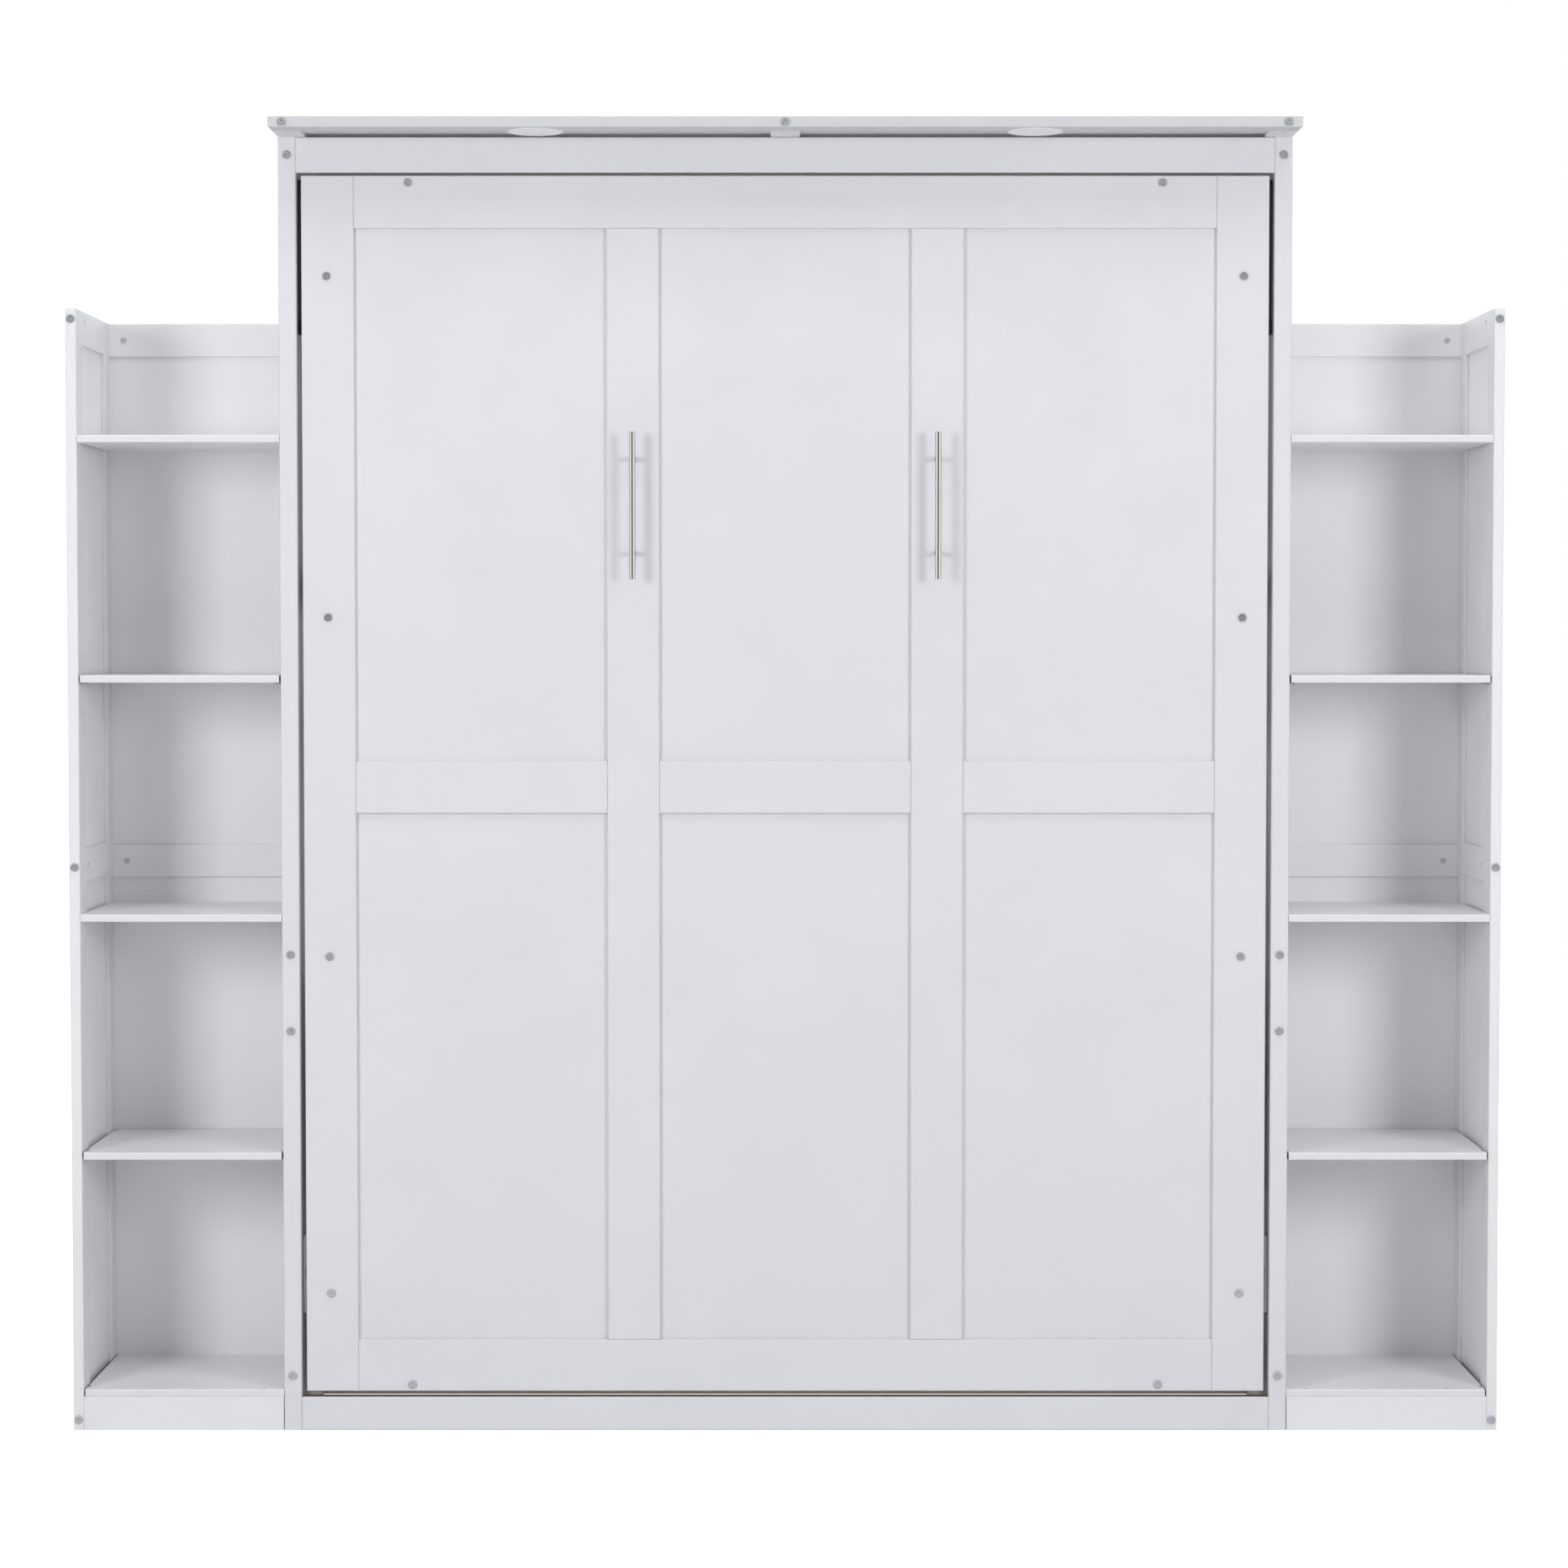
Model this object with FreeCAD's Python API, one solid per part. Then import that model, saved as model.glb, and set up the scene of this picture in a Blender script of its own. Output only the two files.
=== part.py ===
import FreeCAD, Part
import math
import os

# Wall bed with an open bookcase on each side, closed, in millimetres.
# +X is to the viewer's right, +Y is towards the wall and +Z is up.
# The origin is on the floor, under the middle of the whole footprint.
# Depths are measured back from the front plane of the posts.

# Cabinet
post_thickness = 30.0
post_width = 89.0
rear_post_width = 60.0
cabinet_depth = 320.0
header_height = 60.0
header_thickness = 20.0
kick_height = 58.0
kick_thickness = 18.0
side_top_rail_width = 60.0
side_mid_rail_width = 211.0
side_mid_rail_centre_height = 755.5
side_bottom_rail_width = 140.0
back_rail_thickness = 18.0
back_rail_width = 60.0
upper_back_rail_height = 1420.0
lower_back_rail_height = 560.0

# Top frame
top_thickness = 18.0
top_overhang = 121.0
top_front_rail_width = 50.0
top_rear_rail_width = 50.0
top_end_rail_width = 47.0
top_centre_rail_width = 50.0

# Face of the bed
face_width = 1646.0
face_height = 2080.0
face_thickness = 20.0
face_side_gap = 9.0
face_bottom_gap = 10.0
face_top_gap = 5.0
face_member_width = 89.0
face_panel_recess = 8.0

# Frame and panel joints
panel_thickness = 6.0
groove_depth = 8.5
tenon_length = 8.0
joint_clearance = 0.2
arris_radius = 2.4
thin_arris_radius = 1.6

# Bed frame behind the face
bed_rail_thickness = 20.0
bed_rail_width = 140.0
bed_rail_centre_inset = 43.0
bed_end_inset = 12.0
slat_count = 13
slat_width = 70.0
slat_thickness = 18.0
slat_end_clearance = 1.0

# Bookcases
bookcase_width = 363.0
bookcase_height = 1923.0
bookcase_side_thickness = 18.0
bookcase_front_stile_width = 55.0
bookcase_rear_stile_width = 60.0
bookcase_rail_width = 58.0
bookcase_mid_rail_centre_height = 971.0
bookcase_back_mid_rail_height = 935.0
plinth_height = 58.0
plinth_thickness = 18.0
plinth_side_gap = 1.0
shelf_thickness = 12.7
shelf_pitch = 409.6
shelf_back_clearance = 2.0
shelf_end_gap = 2.5
shelf_notch_radius = 6.0
shelf_bore_radius = 4.8
shelf_bore_outer_inset = 67.0
shelf_bore_inner_inset = 36.0

# Shelf pins and their holes
shelf_pin_radius = 2.5
shelf_pin_hole_radius = 2.6
shelf_pin_hole_depth = 8.0
shelf_pin_tab_length = 12.0
shelf_pin_tab_width = 9.0
shelf_pin_tab_thickness = 2.0
shelf_pin_hole_spacing = 50.0
shelf_pin_stile_inset = 28.0
shelf_pin_seat_clearance = 0.2

# Socket-head bolts and the barrel nuts that they pull on
bolt_head_radius = 7.5
bolt_head_height = 3.6
bolt_head_edge_height = 1.2
bolt_crown_radius = 4.2
bolt_socket_radius = 3.2
bolt_socket_depth = 2.2
bolt_shank_radius = 3.0
bolt_hole_clearance = 0.2
bolt_bite = 32.0
nut_radius = 5.0
nut_length = 12.0
nut_setback = 23.0
nut_hole_clearance = 0.1
face_bolt_end_inset = 170.0
face_bolts_per_side = 4
face_end_bolt_inset = 182.0
post_top_bolt_drop = 30.0
post_mid_bolt_spacing = 131.0
post_bottom_bolt_height = 95.0
bookcase_top_bolt_drop = 17.0
bookcase_bottom_bolt_height = 18.5

# Wall fixings
wall_hole_radius = 4.0
wall_hole_spacing = 812.8
wall_screw_radius = 2.4
wall_screw_hole_radius = 2.6
wall_screw_head_radius = 5.0
wall_screw_head_height = 2.2
wall_screw_rim_bevel = 1.1
wall_screw_side_inset = 26.0
wall_screw_end_clearance = 1.0

# Pull handles
handle_bar_radius = 5.2
handle_length = 250.0
handle_height = 1587.5
handle_post_radius = 4.5
handle_post_spacing = 160.0
handle_projection = 34.0
handle_rim_bevel = 0.6

# Puck lights in the top frame
puck_radius = 46.5
puck_side_offset = 420.0
puck_front_inset = 55.0
puck_proud = 1.0
puck_hole_clearance = 0.5
puck_rim_width = 7.0
puck_rim_bevel = 0.9
puck_lens_drop = 0.4

# Bed pivot
pivot_depth = 55.0
pivot_height = 265.0
pivot_pin_radius = 8.0
pivot_pin_bite = 12.0
pivot_clearance = 0.15
hinge_plate_thickness = 4.0
hinge_plate_width = 56.0
hinge_plate_length = 140.0
bed_plate_thickness = 4.0
bed_plate_length = 170.0
plate_corner_radius = 8.0
bush_radius = 11.0
bush_flange_radius = 15.0
bush_flange_thickness = 3.0
bush_end_inset = 2.0
bush_seat_clearance = 0.05

# Gas struts
strut_plane_inset = 21.0
strut_anchor_depth = 200.0
strut_anchor_height = side_mid_rail_centre_height
strut_foot_depth = 135.0
strut_foot_height = 110.0
strut_eye_radius = 12.0
strut_eye_width = 10.0
strut_stud_radius = 5.0
strut_stud_head_radius = 8.0
strut_stud_head_thickness = 3.0
strut_stud_head_gap = 1.0
strut_neck_radius = 6.0
strut_tube_start = 28.0
strut_tube_length = 340.0
strut_tube_radius = 11.0
strut_tube_wall = 2.0
strut_tube_cap = 8.0
strut_guide_length = 15.0
strut_rod_radius = 5.0
strut_rod_clearance = 0.3
strut_piston_radius = 8.7
strut_piston_length = 12.0
strut_piston_gap = 5.0
strut_bracket_thickness = 3.0
strut_bracket_size = 60.0
bed_bracket_size = 50.0
strut_pin_end_gap = 0.3

# Folding legs at the foot end
leg_pivot_depth = 40.0
leg_pivot_drop = 16.0
leg_thickness = 6.0
leg_width = 28.0
leg_face_gap = 1.5
leg_pin_radius = 5.0
leg_pin_clearance = 0.15
leg_pin_bite = 10.0
leg_pin_tip_gap = 0.2
leg_sleeve_radius = 9.0
leg_sleeve_gap = 0.3
leg_foot_height = 24.0
leg_foot_sole = 3.0
leg_foot_side_wall = 0.8
leg_foot_edge_wall = 3.0
leg_foot_bevel = 0.5

# Working values that are not sizes of the object
cut_overrun = 1.0
match_tolerance = 0.001

# Levels and widths that follow from the sizes above
opening_half = face_width / 2 + face_side_gap
cabinet_half = opening_half + post_thickness
bookcase_outer = cabinet_half + bookcase_width
bookcase_inner = bookcase_outer - bookcase_side_thickness
face_bottom = kick_height + face_bottom_gap
face_top = face_bottom + face_height
header_bottom = face_top + face_top_gap
post_top = header_bottom + header_height
overall_height = post_top + top_thickness
overall_depth = cabinet_depth + top_overhang + bolt_head_height
front_plane = top_overhang + bolt_head_height - overall_depth / 2

bed_rail_outer = face_width / 2 - bed_rail_centre_inset + bed_rail_thickness / 2
bed_rail_inner = bed_rail_outer - bed_rail_thickness
bed_bottom = face_bottom + bed_end_inset - bed_rail_thickness / 2
bed_top = face_top - bed_end_inset + bed_rail_thickness / 2
leg_pivot_height = face_top - leg_pivot_drop

stile_inner = face_width / 2 - face_member_width
face_column = (2 * stile_inner - 2 * face_member_width) / 3
inner_stile_centre = (face_column + face_member_width) / 2
face_mid_height = (face_bottom + face_top) / 2

RIGHT = FreeCAD.Vector(1, 0, 0)
BACK = FreeCAD.Vector(0, 1, 0)
UP = FreeCAD.Vector(0, 0, 1)

# The long and short arrises of a member's front, and of its low edge
front_perimeter = (("front", "low"), ("front", "high"), ("front", "start"), ("front", "end"))
nosing = (("front", "low"), ("back", "low"))


def at(x, depth, z):
    """A place given by its depth behind the posts' front plane."""
    return FreeCAD.Vector(x, front_plane + depth, z)


def board(x_low, x_high, depth_low, depth_high, z_low, z_high):
    """A plain board between two places on each axis."""
    corner = at(x_low, depth_low, z_low)
    return Part.makeBox(x_high - x_low, depth_high - depth_low, z_high - z_low, corner)


def rod_x(radius, x_low, x_high, depth, z):
    """A round bar along X."""
    return Part.makeCylinder(radius, x_high - x_low, at(x_low, depth, z), RIGHT)


def rod_y(radius, x, depth_low, depth_high, z):
    """A round bar along the depth."""
    return Part.makeCylinder(radius, depth_high - depth_low, at(x, depth_low, z), BACK)


def on_plane(edge, axis, level):
    return all(abs(getattr(vertex.Point, axis) - level) < match_tolerance for vertex in edge.Vertexes)


def eased(box, picks, radius):
    """Rounds the arrises of a box where two of its named sides meet."""
    bounds = box.BoundBox
    sides = {
        "start": ("x", bounds.XMin),
        "end": ("x", bounds.XMax),
        "front": ("y", bounds.YMin),
        "back": ("y", bounds.YMax),
        "low": ("z", bounds.ZMin),
        "high": ("z", bounds.ZMax),
    }
    edges = []
    for first, second in picks:
        for edge in box.Edges:
            if on_plane(edge, *sides[first]) and on_plane(edge, *sides[second]):
                edges.append(edge)
    return box.makeFillet(radius, edges)


def mirrored(shape):
    """The same piece on the other side of the bed."""
    return shape.mirror(FreeCAD.Vector(0, 0, 0), RIGHT)


def both_sides(shapes):
    return shapes + [mirrored(shape) for shape in shapes]


def placed(shape, start, along, across):
    """Lays a member's length along one direction and its width along another."""
    through = across.cross(along)
    matrix = FreeCAD.Matrix(
        along.x, through.x, across.x, start.x,
        along.y, through.y, across.y, start.y,
        along.z, through.z, across.z, start.z,
        0, 0, 0, 1)
    moved = shape.copy()
    moved.Placement = FreeCAD.Placement(matrix)
    return moved


def member(length, width, thickness, recess, grooves=(), tenons=(), arrises=front_perimeter,
           radius=arris_radius):
    """A frame member along X, front at Y 0, width up Z, with panel grooves and stub tenons."""
    body = eased(Part.makeBox(length, thickness, width), arrises, radius)
    for end in tenons:
        tenon_start = -tenon_length if end == "start" else length
        corner = FreeCAD.Vector(tenon_start, recess, 0)
        body = body.fuse(Part.makeBox(tenon_length, panel_thickness, width, corner))
    reach = tenon_length + cut_overrun
    for side in grooves:
        groove_floor = groove_depth if side == "low" else width - groove_depth
        groove_mouth = -cut_overrun if side == "low" else width + cut_overrun
        corner = FreeCAD.Vector(-reach, recess - joint_clearance, min(groove_floor, groove_mouth))
        groove_width = panel_thickness + 2 * joint_clearance
        cutter = Part.makeBox(length + 2 * reach, groove_width, abs(groove_mouth - groove_floor), corner)
        body = body.cut(cutter)
    return body


def save(name, shapes):
    solids = []
    for shape in shapes:
        solids.extend(shape.Solids)
    result = solids[0] if len(solids) == 1 else Part.makeCompound(solids)
    result.exportStep("parts/" + name + ".step")


# Bolts with a crowned head and a hexagon socket, each pulling on a barrel nut across its end


def bolt(x, depth, z, length):
    """A bolt that enters at its front, its head standing on the surface."""
    outline = [
        FreeCAD.Vector(0, -bolt_head_height, 0),
        FreeCAD.Vector(bolt_crown_radius, -bolt_head_height, 0),
        FreeCAD.Vector(bolt_head_radius, -bolt_head_edge_height, 0),
        FreeCAD.Vector(bolt_head_radius, 0, 0),
        FreeCAD.Vector(bolt_shank_radius, 0, 0),
        FreeCAD.Vector(bolt_shank_radius, length, 0),
        FreeCAD.Vector(0, length, 0),
        FreeCAD.Vector(0, -bolt_head_height, 0),
    ]
    body = Part.Face(Part.makePolygon(outline)).revolve(FreeCAD.Vector(0, 0, 0), BACK, 360)
    corners = []
    for corner in range(7):
        turn = math.radians(60 * corner)
        corner_x = bolt_socket_radius * math.cos(turn)
        corner_z = bolt_socket_radius * math.sin(turn)
        corners.append(FreeCAD.Vector(corner_x, -bolt_head_height - cut_overrun, corner_z))
    hexagon = Part.Face(Part.makePolygon(corners))
    body = body.cut(hexagon.extrude(BACK * (bolt_socket_depth + cut_overrun)))
    body.translate(at(x, depth, z))
    return body


def bolt_hole(x, depth, z, length):
    radius = bolt_shank_radius + bolt_hole_clearance
    return rod_y(radius, x, depth - cut_overrun, depth + length + bolt_hole_clearance, z)


def barrel_nut(x, joint_depth, z, entry):
    """A cross nut behind a joint, bored for its bolt; it was pushed in from the entry side."""
    middle = at(x, joint_depth + nut_setback, z)
    body = Part.makeCylinder(nut_radius, nut_length, middle - entry * (nut_length / 2), entry)
    radius = bolt_shank_radius + bolt_hole_clearance
    bore_start = middle - BACK * (nut_radius + cut_overrun)
    return body.cut(Part.makeCylinder(radius, 2 * (nut_radius + cut_overrun), bore_start, BACK))


def nut_hole(x, joint_depth, z, entry, board_thickness):
    """The blind hole of a barrel nut, open on the entry side of its board."""
    middle = at(x, joint_depth + nut_setback, z)
    reach = nut_length / 2 + nut_hole_clearance
    length = reach + board_thickness / 2 + cut_overrun
    return Part.makeCylinder(nut_radius + nut_hole_clearance, length, middle - entry * reach, entry)


# Panel frame of the face

face_rail_length = 2 * stile_inner
mid_rail_bottom = face_mid_height - face_member_width / 2
row_height = mid_rail_bottom - face_bottom - face_member_width
side_bolt_run = face_height - 2 * face_bolt_end_inset
side_bolt_step = side_bolt_run / (face_bolts_per_side - 1)
side_bolt_x = face_width / 2 - bed_rail_centre_inset
face_end_bolt_x = face_width / 2 - face_end_bolt_inset
face_bolt_length = face_thickness + bolt_bite


def face_bolt_places():
    """Bolts down both edges, then two in each end rail."""
    places = []
    for side in (-1, 1):
        for row in range(face_bolts_per_side):
            places.append((side * side_bolt_x, face_bottom + face_bolt_end_inset + row * side_bolt_step))
        for z in (face_bottom + bed_end_inset, face_top - bed_end_inset):
            places.append((side * face_end_bolt_x, z))
    return places


def face_nut_entry(x, z):
    """Barrel nuts go in from the mattress side of their rail."""
    if abs(x) > bed_rail_inner:
        return RIGHT if x < 0 else -RIGHT
    return UP if z < face_mid_height else -UP


def face_nuts():
    return [barrel_nut(x, face_thickness, z, face_nut_entry(x, z)) for x, z in face_bolt_places()]


def face_holes():
    holes = [bolt_hole(x, 0, z, face_bolt_length) for x, z in face_bolt_places()]
    for x, z in face_bolt_places():
        holes.append(nut_hole(x, face_thickness, z, face_nut_entry(x, z), bed_rail_thickness))
    return holes


def face_outer_stile():
    """The right one: full height, grooved on its inner edge."""
    body = member(face_height, face_member_width, face_thickness, face_panel_recess, grooves=("high",))
    body = placed(body, at(face_width / 2, 0, face_bottom), UP, -RIGHT)
    return body.cut(face_holes())


def face_end_rail(z_low, groove):
    body = member(face_rail_length, face_member_width, face_thickness, face_panel_recess,
                  grooves=(groove,), tenons=("start", "end"))
    body = placed(body, at(-stile_inner, 0, z_low), RIGHT, UP)
    return body.cut(face_holes())


def face_inner_stile(centre):
    length = face_height - 2 * face_member_width
    body = member(length, face_member_width, face_thickness, face_panel_recess,
                  grooves=("low", "high"), tenons=("start", "end"))
    return placed(body, at(centre + face_member_width / 2, 0, face_bottom + face_member_width), UP, -RIGHT)


def face_mid_rail(column):
    x_low = -stile_inner + column * (face_column + face_member_width)
    body = member(face_column, face_member_width, face_thickness, face_panel_recess,
                  grooves=("low", "high"), tenons=("start", "end"))
    return placed(body, at(x_low, 0, mid_rail_bottom), RIGHT, UP)


def face_panel(column, row):
    x_low = -stile_inner + column * (face_column + face_member_width)
    z_low = face_bottom + face_member_width + row * (row_height + face_member_width)
    return board(x_low - tenon_length, x_low + face_column + tenon_length,
                 face_panel_recess, face_panel_recess + panel_thickness,
                 z_low - tenon_length, z_low + row_height + tenon_length)


# Bed frame that stands behind the face

def leg_pin_hole():
    radius = leg_pin_radius + leg_pin_clearance
    return rod_x(radius, bed_rail_outer - leg_pin_bite, bed_rail_outer + cut_overrun,
                 leg_pivot_depth, leg_pivot_height)


def bush_hole(x_low, x_high):
    radius = bush_radius + bush_seat_clearance
    return rod_x(radius, x_low - cut_overrun, x_high + cut_overrun, pivot_depth, pivot_height)


def bed_side_rail():
    """The right one, bored for the pivot's bush, the leg's pin and the face's bolts."""
    depth_high = face_thickness + bed_rail_width
    body = board(bed_rail_inner, bed_rail_outer, face_thickness, depth_high, bed_bottom, bed_top)
    body = eased(body, (("back", "start"), ("back", "end")), arris_radius)
    body = body.cut(bush_hole(bed_rail_inner, bed_rail_outer))
    body = body.cut(leg_pin_hole())
    return body.cut(face_holes())


def bed_end_rail(z_low):
    depth_high = face_thickness + bed_rail_width
    body = board(-bed_rail_inner, bed_rail_inner, face_thickness, depth_high,
                 z_low, z_low + bed_rail_thickness)
    body = eased(body, (("back", "low"), ("back", "high")), arris_radius)
    return body.cut(face_holes())


def bed_slats():
    """Slats laid across the back of the face, evenly spaced between the end rails."""
    clear_bottom = bed_bottom + bed_rail_thickness
    clear_height = bed_top - bed_rail_thickness - clear_bottom
    space = (clear_height - slat_count * slat_width) / (slat_count + 1)
    half = bed_rail_inner - slat_end_clearance
    slats = []
    for number in range(slat_count):
        z_low = clear_bottom + space + number * (slat_width + space)
        slat = board(-half, half, face_thickness, face_thickness + slat_thickness, z_low, z_low + slat_width)
        slats.append(eased(slat, (("back", "low"), ("back", "high")), thin_arris_radius))
    return slats


def handle(x):
    """A round bar on two posts that are saddled to it."""
    z_low = handle_height - handle_length / 2
    bar = Part.makeCylinder(handle_bar_radius, handle_length, at(x, -handle_projection, z_low), UP)
    rims = [edge for edge in bar.Edges if edge.Closed and len(edge.Vertexes) == 1]
    pieces = [bar.makeChamfer(handle_rim_bevel, rims)]
    for side in (-1, 1):
        z = handle_height + side * handle_post_spacing / 2
        post = rod_y(handle_post_radius, x, -handle_projection, 0, z)
        pieces.append(post.cut(bar))
    return pieces


# Posts, rails and panels of the cabinet

post_bolt_x = cabinet_half - post_thickness / 2
post_bolt_length = post_width + bolt_bite
side_rail_length = cabinet_depth - post_width - rear_post_width
side_recess = (post_thickness - panel_thickness) / 2
side_mid_rail_bottom = side_mid_rail_centre_height - side_mid_rail_width / 2
side_mid_rail_top = side_mid_rail_centre_height + side_mid_rail_width / 2


def post_bolt_heights():
    half_spacing = post_mid_bolt_spacing / 2
    return [
        post_bottom_bolt_height,
        side_mid_rail_centre_height - half_spacing,
        side_mid_rail_centre_height + half_spacing,
        post_top - post_top_bolt_drop,
    ]


def post_holes():
    holes = [bolt_hole(post_bolt_x, 0, z, post_bolt_length) for z in post_bolt_heights()]
    for z in post_bolt_heights():
        holes.append(nut_hole(post_bolt_x, post_width, z, -RIGHT, post_thickness))
    return holes


def front_post():
    """The right one, grooved at its back for the side panels."""
    body = member(post_top, post_width, post_thickness, side_recess, grooves=("high",), arrises=nosing)
    body = placed(body, at(opening_half, 0, 0), UP, BACK)
    return body.cut(post_holes())


def rear_post():
    body = member(post_top, rear_post_width, post_thickness, side_recess,
                  grooves=("low",), arrises=nosing, radius=thin_arris_radius)
    return placed(body, at(opening_half, cabinet_depth - rear_post_width, 0), UP, BACK)


def side_rail(z_low, width, grooves):
    """A rail between the front and the rear post of one side."""
    body = member(side_rail_length, width, post_thickness, side_recess, grooves=grooves,
                  tenons=("start", "end"), arrises=nosing, radius=thin_arris_radius)
    body = placed(body, at(cabinet_half, post_width, z_low), BACK, UP)
    return body.cut(post_holes())


def cabinet_side_rails():
    return [
        side_rail(0, side_bottom_rail_width, ("high",)),
        side_rail(side_mid_rail_bottom, side_mid_rail_width, ("low", "high")),
        side_rail(post_top - side_top_rail_width, side_top_rail_width, ("low",)),
    ]


def side_panel_between(z_low, z_high):
    x_low = opening_half + side_recess
    return board(x_low, x_low + panel_thickness,
                 post_width - tenon_length, cabinet_depth - rear_post_width + tenon_length,
                 z_low - tenon_length, z_high + tenon_length)


def cabinet_side_panels():
    return [
        side_panel_between(side_bottom_rail_width, side_mid_rail_bottom),
        side_panel_between(side_mid_rail_top, post_top - side_top_rail_width),
    ]


def wall_holes(z):
    holes = []
    for side in (-1, 1):
        x = side * wall_hole_spacing / 2
        depth_low = cabinet_depth - back_rail_thickness - cut_overrun
        holes.append(rod_y(wall_hole_radius, x, depth_low, cabinet_depth + cut_overrun, z))
    return holes


def cabinet_back_rails():
    rails = []
    for z_low in (0, lower_back_rail_height, upper_back_rail_height, post_top - back_rail_width):
        depth_low = cabinet_depth - back_rail_thickness
        body = board(-opening_half, opening_half, depth_low, cabinet_depth, z_low, z_low + back_rail_width)
        body = eased(body, (("front", "low"), ("front", "high")), thin_arris_radius)
        if z_low > lower_back_rail_height:
            body = body.cut(wall_holes(z_low + back_rail_width / 2))
        rails.append(body)
    return rails


def header_rail():
    body = member(2 * opening_half, header_height, header_thickness, 0)
    return placed(body, at(-opening_half, 0, header_bottom), RIGHT, UP)


def kick_rail():
    body = member(2 * opening_half, kick_height, kick_thickness, 0)
    return placed(body, at(-opening_half, 0, 0), RIGHT, UP)


# Top frame, a flat ladder with thin panels between its rails

top_recess = (top_thickness - panel_thickness) / 2
top_front_back_edge = top_front_rail_width - top_overhang
top_rear_front_edge = cabinet_depth - top_rear_rail_width
top_cross_length = top_rear_front_edge - top_front_back_edge
top_bolt_length = top_front_rail_width + bolt_bite
top_bolt_z = post_top + top_thickness / 2
top_end_centre = cabinet_half - top_end_rail_width / 2


def top_bolt_places():
    return [-top_end_centre, 0, top_end_centre]


def top_holes():
    holes = [bolt_hole(x, -top_overhang, top_bolt_z, top_bolt_length) for x in top_bolt_places()]
    for x in top_bolt_places():
        holes.append(nut_hole(x, top_front_back_edge, top_bolt_z, -UP, top_thickness))
    return holes


def puck_hole(side):
    """The round cut-out that lets a light into the rail's underside, up to the panel."""
    centre = at(side * puck_side_offset, puck_front_inset - top_overhang, post_top - cut_overrun)
    return Part.makeCylinder(puck_radius + puck_hole_clearance, top_recess + cut_overrun, centre, UP)


def top_front_rail():
    picks = (("front", "high"), ("back", "high"), ("front", "start"), ("front", "end"), ("front", "low"))
    body = member(2 * cabinet_half, top_front_rail_width, top_thickness, top_recess,
                  grooves=("low",), arrises=picks)
    body = placed(body, at(-cabinet_half, top_front_back_edge, post_top), RIGHT, -BACK)
    body = body.cut(top_holes())
    return body.cut([puck_hole(-1), puck_hole(1)])


def top_rear_rail():
    body = member(2 * cabinet_half, top_rear_rail_width, top_thickness, top_recess,
                  grooves=("high",), arrises=(("front", "high"),))
    return placed(body, at(-cabinet_half, cabinet_depth, post_top), RIGHT, -BACK)


def top_cross_rail(x_low, width, grooves):
    picks = (("front", "low"), ("front", "high"), ("front", "start"))
    body = member(top_cross_length, width, top_thickness, top_recess, grooves=grooves,
                  tenons=("start", "end"), arrises=picks)
    body = placed(body, at(x_low, top_front_back_edge, post_top), BACK, RIGHT)
    return body.cut(top_holes())


def top_cross_rails():
    end_low = cabinet_half - top_end_rail_width
    return [
        top_cross_rail(-cabinet_half, top_end_rail_width, ("high",)),
        top_cross_rail(-top_centre_rail_width / 2, top_centre_rail_width, ("low", "high")),
        top_cross_rail(end_low, top_end_rail_width, ("low",)),
    ]


def top_panel():
    x_low = top_centre_rail_width / 2 - tenon_length
    x_high = cabinet_half - top_end_rail_width + tenon_length
    return board(x_low, x_high, top_front_back_edge - tenon_length, top_rear_front_edge + tenon_length,
                 post_top + top_recess, post_top + top_recess + panel_thickness)


def puck_light(side):
    """A bevelled ring round a slightly recessed diffuser, let into the top frame."""
    x = side * puck_side_offset
    depth = puck_front_inset - top_overhang
    height = top_recess + puck_proud
    bottom = at(x, depth, post_top - puck_proud)
    ring = Part.makeCylinder(puck_radius, height, bottom, UP)
    rim = [edge for edge in ring.Edges if edge.Closed and on_plane(edge, "z", post_top - puck_proud)]
    ring = ring.makeChamfer(puck_rim_bevel, rim)
    lens_radius = puck_radius - puck_rim_width
    bore_bottom = at(x, depth, bottom.z - cut_overrun)
    ring = ring.cut(Part.makeCylinder(lens_radius, height + cut_overrun, bore_bottom, UP))
    lens_bottom = at(x, depth, bottom.z + puck_lens_drop)
    lens = Part.makeCylinder(lens_radius, height - puck_lens_drop, lens_bottom, UP)
    return [ring, lens]


# Bookcases: side frame, back frame, shelves and plinth of the right one

bookcase_bolt_x = bookcase_outer - bookcase_side_thickness / 2
bookcase_bolt_length = bookcase_front_stile_width + bolt_bite
bookcase_recess = (bookcase_side_thickness - panel_thickness) / 2
bookcase_rail_length = cabinet_depth - bookcase_front_stile_width - bookcase_rear_stile_width
bookcase_mid_rail_bottom = bookcase_mid_rail_centre_height - bookcase_rail_width / 2
bookcase_top_rail_bottom = bookcase_height - bookcase_rail_width
back_panel_depth = cabinet_depth - back_rail_thickness + (back_rail_thickness - panel_thickness) / 2
shelf_back = back_panel_depth
bottom_shelf_top = plinth_height + shelf_thickness


def shelf_top(level):
    """Level 0 is the bottom shelf on the plinth, and levels 1 and 3 are adjustable."""
    return bottom_shelf_top + level * shelf_pitch


fixed_levels = (0, 2, 4)
adjustable_levels = (1, 3)


def bookcase_bolt_heights():
    top = bookcase_height - bookcase_top_bolt_drop
    return [bookcase_bottom_bolt_height, bookcase_mid_rail_centre_height, top]


def bookcase_holes():
    heights = bookcase_bolt_heights()
    holes = [bolt_hole(bookcase_bolt_x, 0, z, bookcase_bolt_length) for z in heights]
    for z in heights:
        hole = nut_hole(bookcase_bolt_x, bookcase_front_stile_width, z, -RIGHT, bookcase_side_thickness)
        holes.append(hole)
    return holes


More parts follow.
